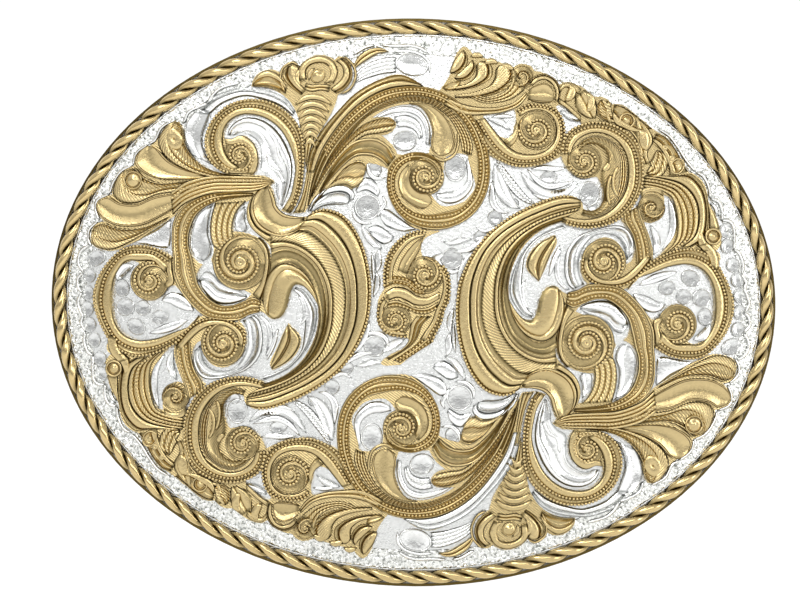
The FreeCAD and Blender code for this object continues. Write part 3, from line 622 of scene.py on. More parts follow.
def draw_edge_leaves_side(r):
    r.ribbon(
        [(-37.8, -18.9), (-36.9, -20.3), (-35.8, -22.2), (-34.5, -23.6), (-33.2, -24.1)],
        [(-35.2, -18.3), (-34.9, -19.8), (-34.2, -21.3), (-33.4, -22.3), (-32.6, -23)],
        LEAF, 0.8)
    r.disc(
        -36.2, -19.6, 1.05, section((0.3, round_top, 0.3, 0.9, 5), (0.7, dished, 0.1, 0.7, 6)), 0.8, 0.15,
        1.2, -30)
    r.disc(-35.4, -20.7, 0.42, SOFT, 0.5, 0.3)
    r.disc(-34.4, -22.1, 0.42, SOFT, 0.5, 0.3)
    r.leaf([(-31.9, -18.5), (-33.2, -19), (-33.7, -20.3), (-33.4, -21.8)], 2.6, flutes(3), 0.8, 0, 1)
    r.leaf([(-31.9, -21.5), (-31.5, -22.6), (-31.4, -23.7), (-30.6, -24.5)], 1.7, SOFT, 1.0, 0.05)
    r.ribbon(
        [(-32.4, -19.9), (-32, -21.3), (-32.8, -22.9), (-32.4, -24.2), (-31.2, -25.5)],
        [(-31.3, -19.6), (-30.6, -21.4), (-30.3, -23.2), (-30.2, -24.8), (-30.2, -26.4)],
        flutes(2), 0.7)
    r.ribbon(
        [(-32.6, -24.7), (-31.3, -25.7), (-30, -26.8), (-28.5, -27.7), (-27.2, -27.9)],
        [(-30.7, -24.2), (-29.6, -24.2), (-28.4, -24.6), (-27.3, -25.2), (-26.9, -26.4)],
        LEAF, 0.85)
    r.disc(
        -29.0, -25.7, 1.15,
        section((0.3, round_top, 0.3, 0.9, 5), (0.2, dished, 0.1, 0.6, 4), (0.5, rising, 0.3, 0.9, 5)),
        0.8, 0.15)
    r.leaf([(-27, -25.9), (-26.1, -26.5), (-25.6, -27.5), (-25.4, -28.5)], 2.2, LEAF, 0.85, 0.05, 0.8)
    r.ribbon(
        [(-27, -25.3), (-26.6, -26.7), (-26.9, -28)],
        [(-26.3, -25.3), (-25.9, -26.7), (-26.1, -28.4)],
        CUSHION, 0.8)
    r.leaf([(-23.4, -26.6), (-23.9, -27.6), (-23.9, -28.6), (-23.2, -29.4)], 1.3, SOFT, 1.0, 0.05)
    r.ribbon(
        [(-24.7, -25.9), (-24.8, -27.6), (-24.3, -28.9), (-23, -29.8)],
        [(-23.9, -25.8), (-22.6, -26.4), (-21.8, -27.5), (-21.7, -28.8)],
        flutes(2), 0.8)
    r.leaf([(-20.3, -28.1), (-21, -28.8), (-21.3, -29.7), (-20.8, -30.5)], 1.3, SOFT, 1.0, 0.05)
    r.ribbon(
        [(-22.6, -29.9), (-21.5, -30.6), (-20.3, -30.7), (-19.5, -30)],
        [(-22.2, -29), (-21.3, -29.8), (-20.3, -30), (-19.6, -29.2)],
        CUSHION, 0.8)
    r.ribbon(
        [(-22.6, -25.3), (-21.6, -26.2), (-20.4, -27.2), (-19.4, -27.8)],
        [(-22.6, -26.2), (-21.6, -27.1), (-20.6, -27.9), (-19.5, -28.6)],
        CUSHION, 0.8, beads=())
    r.ribbon(
        [(-31.4, -20.2), (-30.6, -22.7), (-28.6, -24.8), (-25.8, -25.6)],
        [(-31.5, -21.2), (-30.5, -23.5), (-28.7, -25.3), (-26.2, -26.1)],
        CUSHION, 0.6)


def draw_edge_leaves_base(r):
    r.ribbon(
        [(-15.3, -30.6), (-16, -31.4), (-17.3, -31.8), (-18.7, -31.3), (-19.5, -30.3), (-19.7, -29.2),
         (-19.5, -28)],
        [(-15.8, -30.1), (-16.6, -30.8), (-17.5, -31), (-18.3, -30.6), (-18.8, -29.9), (-19, -29),
         (-18.9, -28.1)],
        EDGED, 0.95)
    r.ribbon(
        [(-15.3, -29.6), (-16.2, -30.2), (-17.5, -30.6), (-18.4, -30), (-18.8, -28.9)],
        [(-15.2, -28.2), (-16.3, -27.9), (-17.4, -27.8), (-18.4, -27.9), (-18.9, -28.4)],
        DISH, 0.85)
    r.curl(-14.3, -31.3, 1.65, 20, 1, 1.1, 0.6, ())
    r.ribbon(
        [(-15.2, -28.8), (-14, -27.3), (-12, -26.4), (-9.5, -26), (-6.5, -25.9), (-3.6, -27.2)],
        [(-14.9, -29.3), (-13.4, -27.9), (-11.5, -27.2), (-9.5, -27), (-6.8, -27.3), (-4.2, -28.2)],
        flutes(2), 0.85)
    r.ribbon(
        [(-14.7, -29.5), (-13.1, -28.3), (-11.2, -27.7), (-9, -27.6), (-7.2, -28.3)],
        [(-13, -31.6), (-12.6, -30), (-11.4, -28.9), (-9.7, -28.4), (-7.8, -28.9)],
        flutes(3), 0.75, hatch=0.5)
    r.ribbon(
        [(-5.1, -28.2), (-8.3, -28.3), (-11.2, -29.1), (-13.1, -30.4), (-13.6, -31.6), (-13, -32.5),
         (-12.1, -32.8)],
        [(-5.1, -28.6), (-7.8, -29.1), (-9.7, -29.9), (-10.5, -31), (-10.6, -32), (-11, -32.7),
         (-11.7, -32.9)],
        EDGED, 1.0, hatch=0.3)
    r.ribbon(
        [(-3.7, -29.2), (-6, -29.3), (-8.3, -29.9), (-10, -31), (-10.3, -32.1), (-9.9, -33),
         (-9.1, -33.4)],
        [(-3.9, -29.6), (-5.1, -29.8), (-6.7, -30.2), (-7.8, -31.1), (-8, -32), (-8, -32.8),
         (-8.5, -33.3)],
        EDGED, 0.95)
    r.leaf([(-7.4, -33.5), (-7.3, -32.4), (-6.4, -31.4), (-5, -30.9)], 1.6, EDGED, 0.9)
    r.leaf([(-6.2, -34.8), (-6, -33.5), (-5.4, -32.5), (-4.4, -31.6)], 1.9, EDGED, 0.85)
    r.leaf([(-5.9, -30.6), (-5.2, -30), (-4.3, -29.7), (-3.4, -29.6)], 1.0, DISH, 0.8)
    r.leaf([(-13.2, -32.2), (-12.2, -32.7), (-11, -32.3)], 1.0, SOFT, 0.85)
    r.leaf([(-11, -33.1), (-10, -33.4), (-9, -32.9)], 0.9, SOFT, 0.85)
    r.leaf([(-9, -33.9), (-8.1, -34.2), (-7.1, -33.9)], 0.8, SOFT, 0.8)


def draw_flower(r):
    r.ribbon(
        [(-18.2, 28.4), (-19.6, 28.9), (-21.2, 29.2), (-22.8, 29.3)],
        [(-18, 29.2), (-19, 30.8), (-20.6, 31.6), (-22.1, 30.9), (-22.8, 29.7)],
        LEAF, 0.9)
    r.ribbon(
        [(-16, 28.2), (-17.4, 29.2), (-18.5, 30.4), (-18.6, 31.3), (-17.9, 32.2)],
        [(-15.4, 29), (-16.3, 30), (-16.6, 31), (-16.4, 32.1), (-17.3, 32.3)],
        EDGED, 0.9)
    r.line([(-18.2, 28.5), (-18.9, 30.2), (-18.7, 31.8), (-17.4, 32.7), (-16.3, 32.2)], 0.4, 0.8)
    r.ribbon(
        [(-16.3, 30.2), (-16.5, 31.8), (-15.4, 33.1), (-13.4, 33.7), (-11.7, 33), (-11, 31.4),
         (-11.6, 29.8)],
        [(-15.3, 30.4), (-15.4, 31.6), (-14.7, 32.4), (-13.4, 32.7), (-12.4, 32.3), (-12, 31.2),
         (-12.4, 30.2)],
        CUSHION, 0.95, 0.1)
    r.disc(
        -13.8, 30.9, 1.05, section((0.2, round_top, 0.3, 0.7, 4), (0.8, rising, 0.4, 1.0, 6)), 1.0, 0.1,
        0.9, 30)
    r.ribbon(
        [(-15.7, 29), (-14.6, 28.7), (-13.3, 28.9), (-12.2, 28.7)],
        [(-15.4, 29.9), (-14.4, 29.7), (-13.3, 29.8), (-12, 29.7)],
        flutes(2), 0.8)
    r.ribbon(
        [(-11.2, 28.5), (-9.9, 29.3), (-9, 30.8), (-9.3, 32.4), (-10.4, 33.5)],
        [(-12, 29.2), (-10.8, 30.2), (-10.3, 31.2), (-10.5, 32.3), (-11.3, 33)],
        EDGED, 0.9)
    r.line([(-10.6, 28.4), (-9.3, 29.2), (-8.6, 30.8), (-8.9, 32.4), (-10.2, 33.7)], 0.4, 0.8)
    r.leaf([(-16.1, 29.4), (-16.7, 30.6), (-16.2, 31.9)], 0.8, SOFT, 0.8, 0.1)
    r.leaf([(-12.9, 29.9), (-11.9, 30.6), (-11.8, 31.7), (-12.4, 32.4)], 0.7, SOFT, 0.8, 0.15)
    r.leaf([(-15, 30.2), (-14.9, 31.3), (-14.2, 32)], 0.6, SOFT, 0.8, 0.15)
    for number in range(7):
        share = number / 6
        x = -14.3 - 0.35 * share
        z = 28.0 - 6.0 * share
        half = 2.5 - 1.7 * share
        r.ribbon(
            [(x - half, z - 0.9), (x - 0.6 * half, z + 0.1), (x, z + 0.45), (x + 0.6 * half, z + 0.1),
             (x + half, z - 0.9)],
            [(x - half, z - 1.2), (x - 0.5 * half, z - 0.65), (x, z - 0.4), (x + 0.5 * half, z - 0.65),
             (x + half, z - 1.2)],
            SOFT, 0.85, 0.05)
    r.ribbon(
        [(-15.4, 22.5), (-15.4, 20.5), (-15.2, 18.4)],
        [(-14, 22.8), (-14.6, 20.5), (-15.1, 18.4)],
        flutes(2), 0.7)


def draw_crown_scroll(r):
    outer = [
        (-14.9, 13), (-14.2, 17), (-12.9, 20.6), (-11.2, 23.4), (-9.2, 25.9), (-6.8, 27.9), (-4.2, 29.2),
        (-1.5, 29.7), (1.5, 29.5), (4.5, 28.4), (7, 26.5), (8.9, 23.8), (9.9, 20.8), (10.2, 17.8),
        (9.8, 15.2), (8.6, 12.9), (6.7, 11.2), (4.4, 10.2), (2.2, 10), (0, 10.5), (-1.8, 11.6),
        (-3.1, 13.2), (-3.9, 15.3), (-4, 17.2), (-3.4, 19), (-2, 20.2), (0, 20.7), (2, 20.3), (3.3, 19.2),
        (3.8, 17.6)
    ]
    inner = [
        (-14.7, 13), (-13.5, 16.8), (-12.1, 20), (-10.3, 22.6), (-8.3, 24.8), (-6, 26.7), (-3.4, 27.9),
        (-0.6, 28.4), (2.2, 28), (4.8, 26.6), (6.8, 24.4), (8.1, 21.6), (8.5, 18.8), (8.4, 16.6),
        (7.6, 14.6), (6.2, 13.2), (4.4, 12.6), (2.2, 12.1), (0.2, 12.3), (-1.4, 13.1), (-2.5, 14.6),
        (-2.9, 16.2), (-2.6, 17.8), (-1.6, 19), (-0.2, 19.5), (1.4, 19.3), (2.5, 18.5), (2.9, 17.6)
    ]
    r.ribbon(outer, inner, RAILS, 0.9, beads=(0.26, 0.74))
    fluted = [
        (-13.9, 15.6), (-12.2, 18.8), (-9.8, 22), (-7, 25.2), (-4, 26.9), (-1, 27.6), (1.8, 27.2),
        (4.2, 25.6), (5.7, 23.2), (6.3, 20.8)
    ]
    r.ribbon(
        [(-14.4, 14), (-13.2, 17.2), (-11.9, 20), (-10.2, 22.5), (-8.2, 24.7), (-5.9, 26.6), (-3.4, 27.8),
         (-0.6, 28.3), (2.2, 27.9), (4.7, 26.5), (6.6, 24.4), (7.7, 22), (7.6, 20.3)],
        fluted, flutes(4, 0.3, 0.85, 5), 0.75, hatch=0.5)
    r.ribbon(
        [(-1.2, 27.4), (1, 27.3), (3.2, 26.2), (4.7, 24.3), (5.3, 22.4), (4.9, 20.9), (3.6, 20.2)],
        [(-1, 27.2), (0.3, 26.9), (1.5, 25.6), (2.1, 23.8), (1.9, 22.1), (2.2, 20.9), (3.2, 20.2)],
        DISH, 0.9)
    r.line([(5.6, 23.6), (5.7, 22), (5.2, 20.4), (3.6, 19.6), (2.2, 20.3)], 0.45, 0.7)
    r.ribbon(
        [(-14.3, 14.6), (-12.6, 18.2), (-10.2, 21.6), (-7.6, 24.2), (-5, 25.3), (-3.3, 25.1), (-3, 24.5)],
        [(-14.2, 14.2), (-12, 17.8), (-9.5, 20.9), (-7.3, 22.7), (-5.2, 23.1), (-3.5, 23.6), (-3, 24.3)],
        LEAF, 0.95, 0.03, hatch=1)
    r.ribbon(
        [(-13.8, 14.2), (-12.2, 17.3), (-10.6, 20.1), (-8.5, 22), (-5.9, 22.5), (-4, 21.6), (-2.9, 19.9)],
        [(-13.6, 13.9), (-11.8, 16.6), (-9.9, 18.7), (-8.3, 19.9), (-6.3, 20), (-4.9, 19.4), (-3.9, 18.5)],
        section((0.2, round_top, 0.4, 1.0, 6), (0.62, dished, 0.02, 0.8, 9),
                (0.18, round_top, 0.4, 0.95, 5)), 1.0)
    r.ribbon(
        [(-13.4, 13.7), (-11.4, 16.4), (-9.8, 18.4), (-8.2, 19.4), (-6.9, 18.9), (-7, 17.7)],
        [(-14.8, 12.5), (-12.8, 14.8), (-11.2, 15.8), (-9.7, 16), (-8.6, 15.5), (-7.6, 16.3),
         (-7.1, 17.3)],
        LEAF, 0.8, hatch=1)
    r.ribbon(
        [(-1.1, 19), (-2.2, 17.7), (-2.4, 16), (-1.7, 14.3), (-0.2, 13.2), (1.2, 12.9), (2.2, 13.6)],
        [(-0.6, 18.2), (-0.8, 16.9), (-0.4, 15.8), (0.6, 15.1), (1.7, 15), (2.1, 14.5), (2.3, 13.9)],
        DISH, 0.9)
    r.curl(1.3, 17.3, 2.6, 60, -1)
    r.ribbon(
        [(-16.8, 12), (-15.8, 14), (-15.1, 17), (-14.7, 19.6)],
        [(-15.3, 12.2), (-14.9, 14.2), (-14.5, 17), (-14.3, 19.4)],
        flutes(2), 0.75)


def draw_crown_band(r):
    r.ribbon(
        [(-15.1, 17.6), (-14.5, 20.6), (-13, 23.5), (-11, 26), (-8.5, 28.6), (-5.5, 30.4), (-2.5, 31.2),
         (-0.3, 30.4), (0.8, 29.8)],
        [(-14.1, 17.6), (-13, 20.6), (-11.3, 23.4), (-9.3, 25.9), (-6.9, 27.9), (-4.3, 29.2), (-1.6, 29.7),
         (0.6, 29.7)],
        section((0.45, dished, 0.2, 0.8, 7), (0.55, round_top, 0.35, 1.0, 8)), 0.9, 0.05)


def draw_centre_scroll(r):
    r.ribbon(
        [(1.6, 9.9), (0.2, 9.8), (-1.3, 9.2), (-2.8, 7.9), (-3.8, 6.2), (-4.2, 4), (-4.1, 2)],
        [(1.4, 9.1), (0.3, 8.8), (-0.8, 8.1), (-1.8, 6.9), (-2.6, 5.4), (-2.9, 4), (-2.9, 2.6)],
        BEADED, 0.9, beads=(0.06, 0.42))
    r.ribbon(
        [(1.2, 9), (0.2, 8.4), (-0.9, 7.2), (-1.8, 5.8), (-2.3, 4.4)],
        [(1, 8.2), (0.8, 7.4), (0.2, 6.2), (-0.5, 5), (-0.9, 3.9)],
        DISH, 0.8)
    r.curl(1.5, 3.8, 2.6, 100, -1)
    r.ribbon(
        [(1.2, 6.3), (2.8, 5.6), (4.1, 5), (4.8, 3.8), (5, 2.2), (4.9, 0.4), (4.3, -0.9), (3.9, -2.7),
         (3.1, -4.4), (2.7, -5.5)],
        [(1.2, 5.9), (2.4, 5.4), (3.4, 4.5), (3.9, 3.4), (4, 2), (3.7, 0.6), (3.1, -0.9), (2.5, -2.6),
         (1.6, -4), (1, -5)],
        BEADED, 0.8, beads=(0.06, 0.42))
    r.ribbon(
        [(-3.9, 3.4), (-2.4, 3.6), (-0.8, 3.3), (0.4, 2.4), (1.6, 1.9)],
        [(-4, 1.9), (-2.6, 2.5), (-1, 2.2), (0.2, 1.3), (1.6, 1.1)],
        RAILS, 0.85, 0.08, beads=(0.26, 0.74))
    r.ribbon(
        [(-4, 1.3), (-2.6, 2.1), (-1, 1.9), (0.4, 1), (2, 0.8), (3.6, 1.6)],
        [(-3.4, 0.2), (-2.2, 0.6), (-1, 0.2), (0.3, -0.4), (2, -0.3), (3.6, 0.6)],
        SOFT, 1.0)
    r.ribbon(
        [(-3.6, 0), (-2.4, 0.3), (-1, -0.1), (0.4, -0.7), (2, -0.6), (3.4, 0.2)],
        [(-3.6, -0.8), (-2.2, -0.6), (-0.8, -1), (0.6, -1.5), (2, -1.5), (3.2, -0.9)],
        section((0.5, round_top, 0.3, 1.0, 6), (0.5, dished, 0.25, 0.6, 6)), 0.9, 0.03, beads=(0.78,))
    r.curl(-2.5, -2.5, 2.25, 130)
    r.ribbon(
        [(-4.2, 0.7), (-4.9, -0.6), (-4.9, -2.6), (-4.1, -4), (-2.7, -4.7), (-0.8, -4.9)],
        [(-3.6, 0.1), (-4.1, -0.9), (-4.1, -2.5), (-3.4, -3.5), (-2.4, -3.9), (-1, -4.1)],
        EDGED, 0.8, beads=(0.13,))
    r.ribbon(
        [(2.6, -1.8), (1.4, -3), (0.8, -4.6), (0.2, -5.6), (-1, -6.6), (-3.2, -8)],
        [(0.4, -1.9), (-0.3, -3), (-0.5, -4.4), (-0.7, -5.5), (-1.6, -6.5), (-3.6, -7.6)],
        LEAF, 0.85)
    r.ribbon(
        [(2.7, -5.5), (1.2, -6.5), (0, -7.3), (-1.6, -8.3)],
        [(1.5, -4.4), (0.6, -5.6), (-0.6, -6.6), (-2.6, -8)],
        RAILS, 0.8, beads=(0.26, 0.7))


def draw_edge_sliver(r):
    r.ribbon(
        [(-9, 32), (-8.3, 33.6), (-6.8, 34.7), (-5.2, 34.9), (-4.1, 34.4)],
        [(-8.9, 31.9), (-7.3, 33), (-5.7, 34), (-4.2, 34.3)],
        flutes(2), 0.9)


def draw_leaf_island(r):
    r.ribbon(
        [(-17.2, -3.3), (-16.3, -4.1), (-15.6, -5.1), (-15.6, -6.2), (-16.3, -7.5), (-17.5, -8.7),
         (-19.2, -9.6)],
        [(-17.3, -3.4), (-17.9, -4.9), (-18.7, -6.9), (-19.5, -9), (-19.4, -9.5)],
        section((0.55, round_top, 0.3, 1.0, 8), (0.1, dished, 0.2, 0.5, 4),
                (0.35, round_top, 0.3, 0.8, 6)), 0.9)


# ---------------------------------------------------------------- the silver relief
def draw_silver_half(r):
    """Bright shapes of the silver ground over one half; the other half repeats it turned."""
    r.ribbon(
        [(-31.2, 19.9), (-32, 21.8), (-32.1, 24), (-30.9, 25.8)],
        [(-28.1, 18.4), (-29.3, 20.2), (-29.7, 22.2), (-29, 24.6), (-28.6, 25.6)],
        DISH, 1.0)
    r.ribbon(
        [(-30.4, 26.3), (-28.2, 28), (-25, 29.1), (-22.5, 29.1), (-20, 28.7), (-18, 27.6), (-16.8, 26)],
        [(-28.6, 25.6), (-26.9, 27), (-24, 28), (-21.5, 27.6), (-19, 26.7), (-17.2, 25.4)],
        section((0.4, dished, 0.2, 0.8, 6), (0.6, round_top, 0.3, 0.9, 7)), 0.9)
    r.ribbon(
        [(-26.2, 22.6), (-25.9, 23.6), (-24.9, 24.6), (-23.3, 25.1), (-21.2, 24.7), (-19.3, 23.3),
         (-17.9, 21.2), (-17.1, 18.6), (-17.3, 15.8), (-18.3, 12.9)],
        [(-25.2, 22.6), (-24.2, 23), (-22.8, 22.5), (-21.6, 21.2), (-21.4, 19.5), (-21.4, 17.9),
         (-20.2, 17.1), (-19.3, 16), (-19.2, 14.6), (-18.6, 13)],
        section((0.3, round_top, 0.3, 1.0, 6), (0.5, dished, 0.3, 0.8, 8), (0.2, rising, 0.5, 0.8, 4)),
        0.9)
    r.line([(-20.6, 20.4), (-20.2, 18.4), (-19, 17.6), (-18.2, 16)], 0.5, 0.5, 0.15)
    r.line([(-21, 23.6), (-19.6, 22), (-19, 20), (-18.4, 18.6)], 0.4, 0.5, 0.15)
    r.ribbon(
        [(-33.9, 10.9), (-36.5, 9.2), (-39.2, 7.6)],
        [(-33.9, 9.8), (-34.1, 7), (-36.4, 7.1), (-38.7, 7.5)],
        SOFT, 0.6)
    r.ribbon(
        [(-28, 13), (-30, 11.6), (-30.9, 9.2), (-31, 7.1), (-30.2, 5.6)],
        [(-28.3, 12.4), (-28.6, 10.5), (-28.6, 8.8), (-28.1, 7.2), (-28.4, 5.8), (-29.2, 5.1)],
        DISH, 0.9)
    r.ribbon(
        [(-23.6, 12.8), (-24.6, 11.9), (-24.9, 10.6), (-24.8, 9.5), (-24.2, 9.2)],
        [(-23.5, 12.4), (-23.5, 11), (-23.2, 10), (-23.4, 9.3)],
        DISH, 0.8)
    r.ribbon(
        [(-29.8, 2.6), (-28.9, 3.7), (-27.8, 3.4), (-26.9, 2.4), (-25.6, 1.7), (-24.2, 1.2), (-23, 0.5)],
        [(-29.7, 2.2), (-29, 0.9), (-27.6, -0.5), (-26, -0.8), (-24.3, -0.5), (-23.1, 0.1)],
        section((0.4, dished, 0.2, 0.8, 7), (0.6, round_top, 0.35, 1.0, 8)), 0.95)
    r.leaf([(-39, 4.4), (-40.4, 3.8), (-41.4, 2.2)], 1.5, DISH)
    for x, z, radius, squash, tilt in (
            (-40.6, 1.2, 1.05, 1.2, 0), (-40.1, -1.4, 1.3, 1.0, 0), (-37.6, -1.5, 1.1, 1.0, 0),
            (-38.5, -4.1, 1.4, 0.8, -35), (-35.2, -2.7, 1.25, 0.8, 10)):
        r.disc(x, z, radius, BOWL, 0.8, 0, squash, tilt)
    r.leaf([(-36.6, -5), (-35, -4.5), (-33.2, -3.9), (-31.2, -3)], 1.3, SOFT)
    r.leaf([(-35, -0.4), (-33.4, -0.1), (-31.8, -0.8), (-30.4, -1.8)], 2.0, SOFT, 0.95)
    r.ribbon(
        [(-30.2, -7.3), (-30.3, -9), (-29.3, -10.8), (-27.6, -11.2), (-25, -10.6), (-22.6, -9.6),
         (-21, -7.6), (-20.7, -5), (-21.2, -3), (-22, -2.2)],
        [(-29.4, -6.4), (-29, -8.3), (-27.9, -9.6), (-26.2, -10), (-24.6, -9.5), (-23.3, -8),
         (-22.7, -6.1), (-22.8, -4.4), (-23.3, -3.3), (-23.6, -3)],
        section((0.3, round_top, 0.4, 1.0, 6), (0.7, dished, 0.15, 0.8, 9)), 0.95)
    r.ribbon(
        [(-16.3, 1.8), (-15.2, 1.5), (-14.2, 0.4), (-13.4, -1), (-13.3, -2.8), (-13.9, -5.2),
         (-15.1, -7.5), (-16.8, -9.3), (-18.6, -10.4), (-20.3, -11.1)],
        [(-16.6, 1.3), (-15.8, 0.6), (-15.2, -0.6), (-14.9, -2.5), (-15, -4.6), (-15.4, -7), (-17, -9),
         (-18.9, -10), (-20.8, -10.7)],
        section((0.35, dished, 0.2, 0.7, 6), (0.65, round_top, 0.2, 0.8, 7)), 0.7)
    r.line([(-20.2, -7.8), (-19.2, -5.6), (-18.6, -4)], 0.5, 0.5)
    r.ribbon(
        [(-21.6, -2.2), (-20.4, -3.4), (-20, -5.2), (-20.2, -7)],
        [(-20.9, -2.1), (-19.8, -3.2), (-19.3, -4.8), (-19.6, -6.6)],
        SOFT, 0.5)
    r.disc(-24.0, -15.5, 1.45, BOWL, 0.7, 0, 1.2)
    r.disc(-24.4, -13.8, 0.75, BOWL, 0.7)
    r.leaf([(-22.4, -16.9), (-20.6, -15.6), (-18.2, -15.2), (-16.2, -16.2), (-14.4, -18.3)], 1.5, DISH)
    r.leaf([(-21.9, -17.2), (-20.3, -16.7), (-18.4, -16.4), (-16.8, -17.1), (-15.3, -18.7)], 1.0, SOFT)
    r.disc(-18.3, -17.6, 1.25, BOWL, 0.8, 0, 0.7, 10)
    r.leaf([(-20.8, -19), (-19.2, -18.8), (-17.6, -18.9), (-15.8, -18.7)], 0.9, SOFT)
    r.leaf([(-21.6, -14.9), (-19.6, -14.5), (-17.6, -14.7), (-16, -15.4)], 0.8, SOFT)
    r.leaf([(-16.8, -13.6), (-14.6, -15), (-12.6, -17.3), (-11, -19.9)], 1.3, flutes(2), 0.7, 0, 1)
    r.leaf([(-14.4, -13.2), (-12.8, -14.3), (-11.6, -16.4), (-10.8, -19.3)], 1.9, DISH, 0.9)
    r.leaf([(-12.9, -12.6), (-11.6, -12.9), (-10.6, -14.2), (-10.5, -17)], 1.0, SOFT)
    r.disc(-13.6, -13.9, 0.7, BOWL, 0.7)
    r.disc(-11.0, -11.9, 1.05, BOWL, 0.75)
    r.leaf([(-12.9, -11.7), (-11.3, -10.5), (-9.6, -10), (-8.3, -10.6)], 0.8, SOFT)
    r.disc(-8.9, -9.3, 0.95, BOWL, 0.75, 0, 0.8, 40)
    r.leaf([(-10.4, -9.7), (-9, -8.3), (-7.4, -7.4), (-5.4, -7)], 0.9, SOFT)
    r.leaf([(-8.2, -7.3), (-7.2, -5.9), (-6.4, -4.2), (-6, -2.6)], 1.1, SOFT)
    r.leaf([(-7.9, -8.9), (-6.6, -8.7), (-5, -8.3), (-3.9, -8.4)], 0.9, DISH)
    r.disc(-5.2, -6.1, 1.5, BOWL, 0.8)
    r.leaf([(-6.6, -4.6), (-5.2, -4.3), (-3.9, -4.8), (-3.2, -6.2)], 0.8, SOFT)
    r.leaf([(-4.2, -6.9), (-3.2, -6.2), (-2.2, -5.6), (-1.1, -5.1)], 1.2, DISH)
    r.ribbon(
        [(-14.9, 12.2), (-14.1, 14.2), (-12.5, 15.6), (-10.6, 16.1), (-9.2, 15.9), (-8.4, 14.9),
         (-8.5, 14)],
        [(-14.5, 12.3), (-13.4, 13.8), (-12, 14.7), (-10.5, 15), (-9.5, 14.8), (-9.1, 14.3), (-9.2, 13.7)],
        CUSHION, 0.9)
    r.ribbon(
        [(-14.5, 12.3), (-13.4, 13.8), (-12, 14.7), (-10.5, 15), (-9.4, 14.7), (-9, 13.9)],
        [(-14.2, 12.1), (-12.9, 12.9), (-11.3, 13.2), (-10.3, 13.2), (-9.7, 13.3), (-9.2, 13.5)],
        SCOOP, 1.0)
    r.disc(-6.6, 13.0, 1.8, BOWL, 0.85)
    r.ribbon(
        [(-8.3, 15.3), (-7.6, 16.6), (-6.6, 17.1), (-5.4, 16.3), (-4.9, 15)],
        [(-8.1, 14.9), (-7.2, 15.2), (-6.6, 15.2), (-5.8, 14.8), (-5.2, 14.4)],
        SOFT, 0.9)
    r.leaf([(-8.6, 13.2), (-8.4, 11.8), (-7.4, 10.9), (-5.9, 10.8)], 0.7, SOFT)
    r.disc(-5.7, 18.1, 1.0, BOWL, 0.8)
    r.leaf([(-6.7, 19.2), (-6.6, 18), (-5.6, 17), (-4.1, 17.1)], 0.7, SOFT)
    r.ribbon(
        [(-5, 12.3), (-3.9, 12.8), (-2.1, 11.6), (-0.8, 10.7), (0.2, 10.1)],
        [(-4.9, 11.8), (-4.2, 10.6), (-3, 10), (-1.4, 9.7), (0, 10)],
        SOFT, 1.0)
    r.leaf([(-4.6, 14.6), (-4.2, 13.6), (-4.8, 12.6), (-5.2, 11.6)], 0.7, SOFT)
    r.leaf([(-7.4, 10.6), (-6.6, 9.2), (-5.6, 8), (-4.4, 7.3)], 1.1, DISH)
    r.ribbon(
        [(-6.4, 10.2), (-5.2, 10.6), (-3.9, 9.9), (-2.8, 9)],
        [(-5.9, 9), (-5, 8.2), (-4.2, 7.9), (-3.2, 8.3)],
        SOFT, 0.85)
    r.leaf([(-4.7, 7.4), (-5, 6.3), (-4.9, 5.1), (-5.2, 4)], 1.0, SOFT)
    r.leaf([(-5.9, 6.9), (-5.7, 5.4), (-5.6, 3.8), (-5.5, 2.4)], 0.6, CUSHION)
    r.leaf([(-5.2, 4.2), (-5, 3), (-5.2, 1.7), (-5.6, 0.6)], 0.9, SOFT)
    r.leaf([(-18.6, -4.6), (-19.3, -6.4), (-20.1, -8.4)], 0.7, CUSHION, 0.5)
    r.leaf([(-15.4, -3.4), (-14.9, -2.2), (-15, -0.6), (-15.9, 0.6)], 0.8, SOFT, 0.5)
    r.leaf([(-34.4, -7.9), (-35.7, -10.2), (-35.8, -12.8), (-35.1, -15.4)], 1.1, SOFT, 0.8)
    r.leaf([(-33.2, -7.2), (-33.6, -9.2), (-32.7, -11.4)], 1.1, DISH, 0.9)
    r.leaf([(-22.9, -25.5), (-21.2, -26), (-19.7, -26.9)], 0.9, DISH, 0.8)
    r.leaf([(-12.9, -24), (-11.6, -25), (-9.6, -25.6)], 1.0, DISH, 0.8)
    r.leaf([(-13.4, -25.8), (-11.8, -25.9), (-10.2, -25.7)], 0.7, SOFT, 0.8)
    r.ribbon(
        [(-9, 30.2), (-8.4, 31.6), (-6.8, 32.8), (-4.6, 33.6), (-3.1, 33.7)],
        [(-8.8, 29.9), (-7, 30.7), (-5, 31.3), (-3.6, 31.5), (-3, 31.6)],
        flutes(4, 0.4, 0.8), 0.8, hatch=0.5)
    r.disc(-0.9, 32.7, 2.35, BOWL, 1.0, 0, 0.66, -12)
    r.line([(-3.4, 34.4), (-1.6, 34.6), (0.2, 34.2), (1.4, 33.2), (1.6, 31.6)], 0.5, 0.6)
    r.ribbon(
        [(-6, 25.2), (-4, 26.4), (-1.6, 27), (0.2, 26.6), (1.4, 25.2), (1.9, 23.4), (1.8, 21.6)],
        [(-4.6, 25.6), (-3, 26), (-1.4, 26.1), (0, 25.6), (0.8, 24.6), (1.2, 23.2), (1.2, 21.9)],
        SOFT, 0.8)
    r.ribbon(
        [(-3.2, 25.5), (-1.6, 25.8), (-0.2, 25.3), (0.6, 24.3), (0.9, 22.8)],
        [(-2.6, 24), (-1.6, 24.1), (-0.6, 23.8), (0, 23.2), (0.3, 22.4)],
        section((0.5, round_top, 0.3, 0.9, 6), (0.5, round_top, 0.3, 0.8, 6)), 0.8, hatch=0.4)
    r.disc(-1.6, 22.2, 1.7, BOWL, 0.9, 0, 0.85, 10)
    r.disc(5.4, 18.6, 1.9, BOWL, 0.85, 0, 0.8, 90)
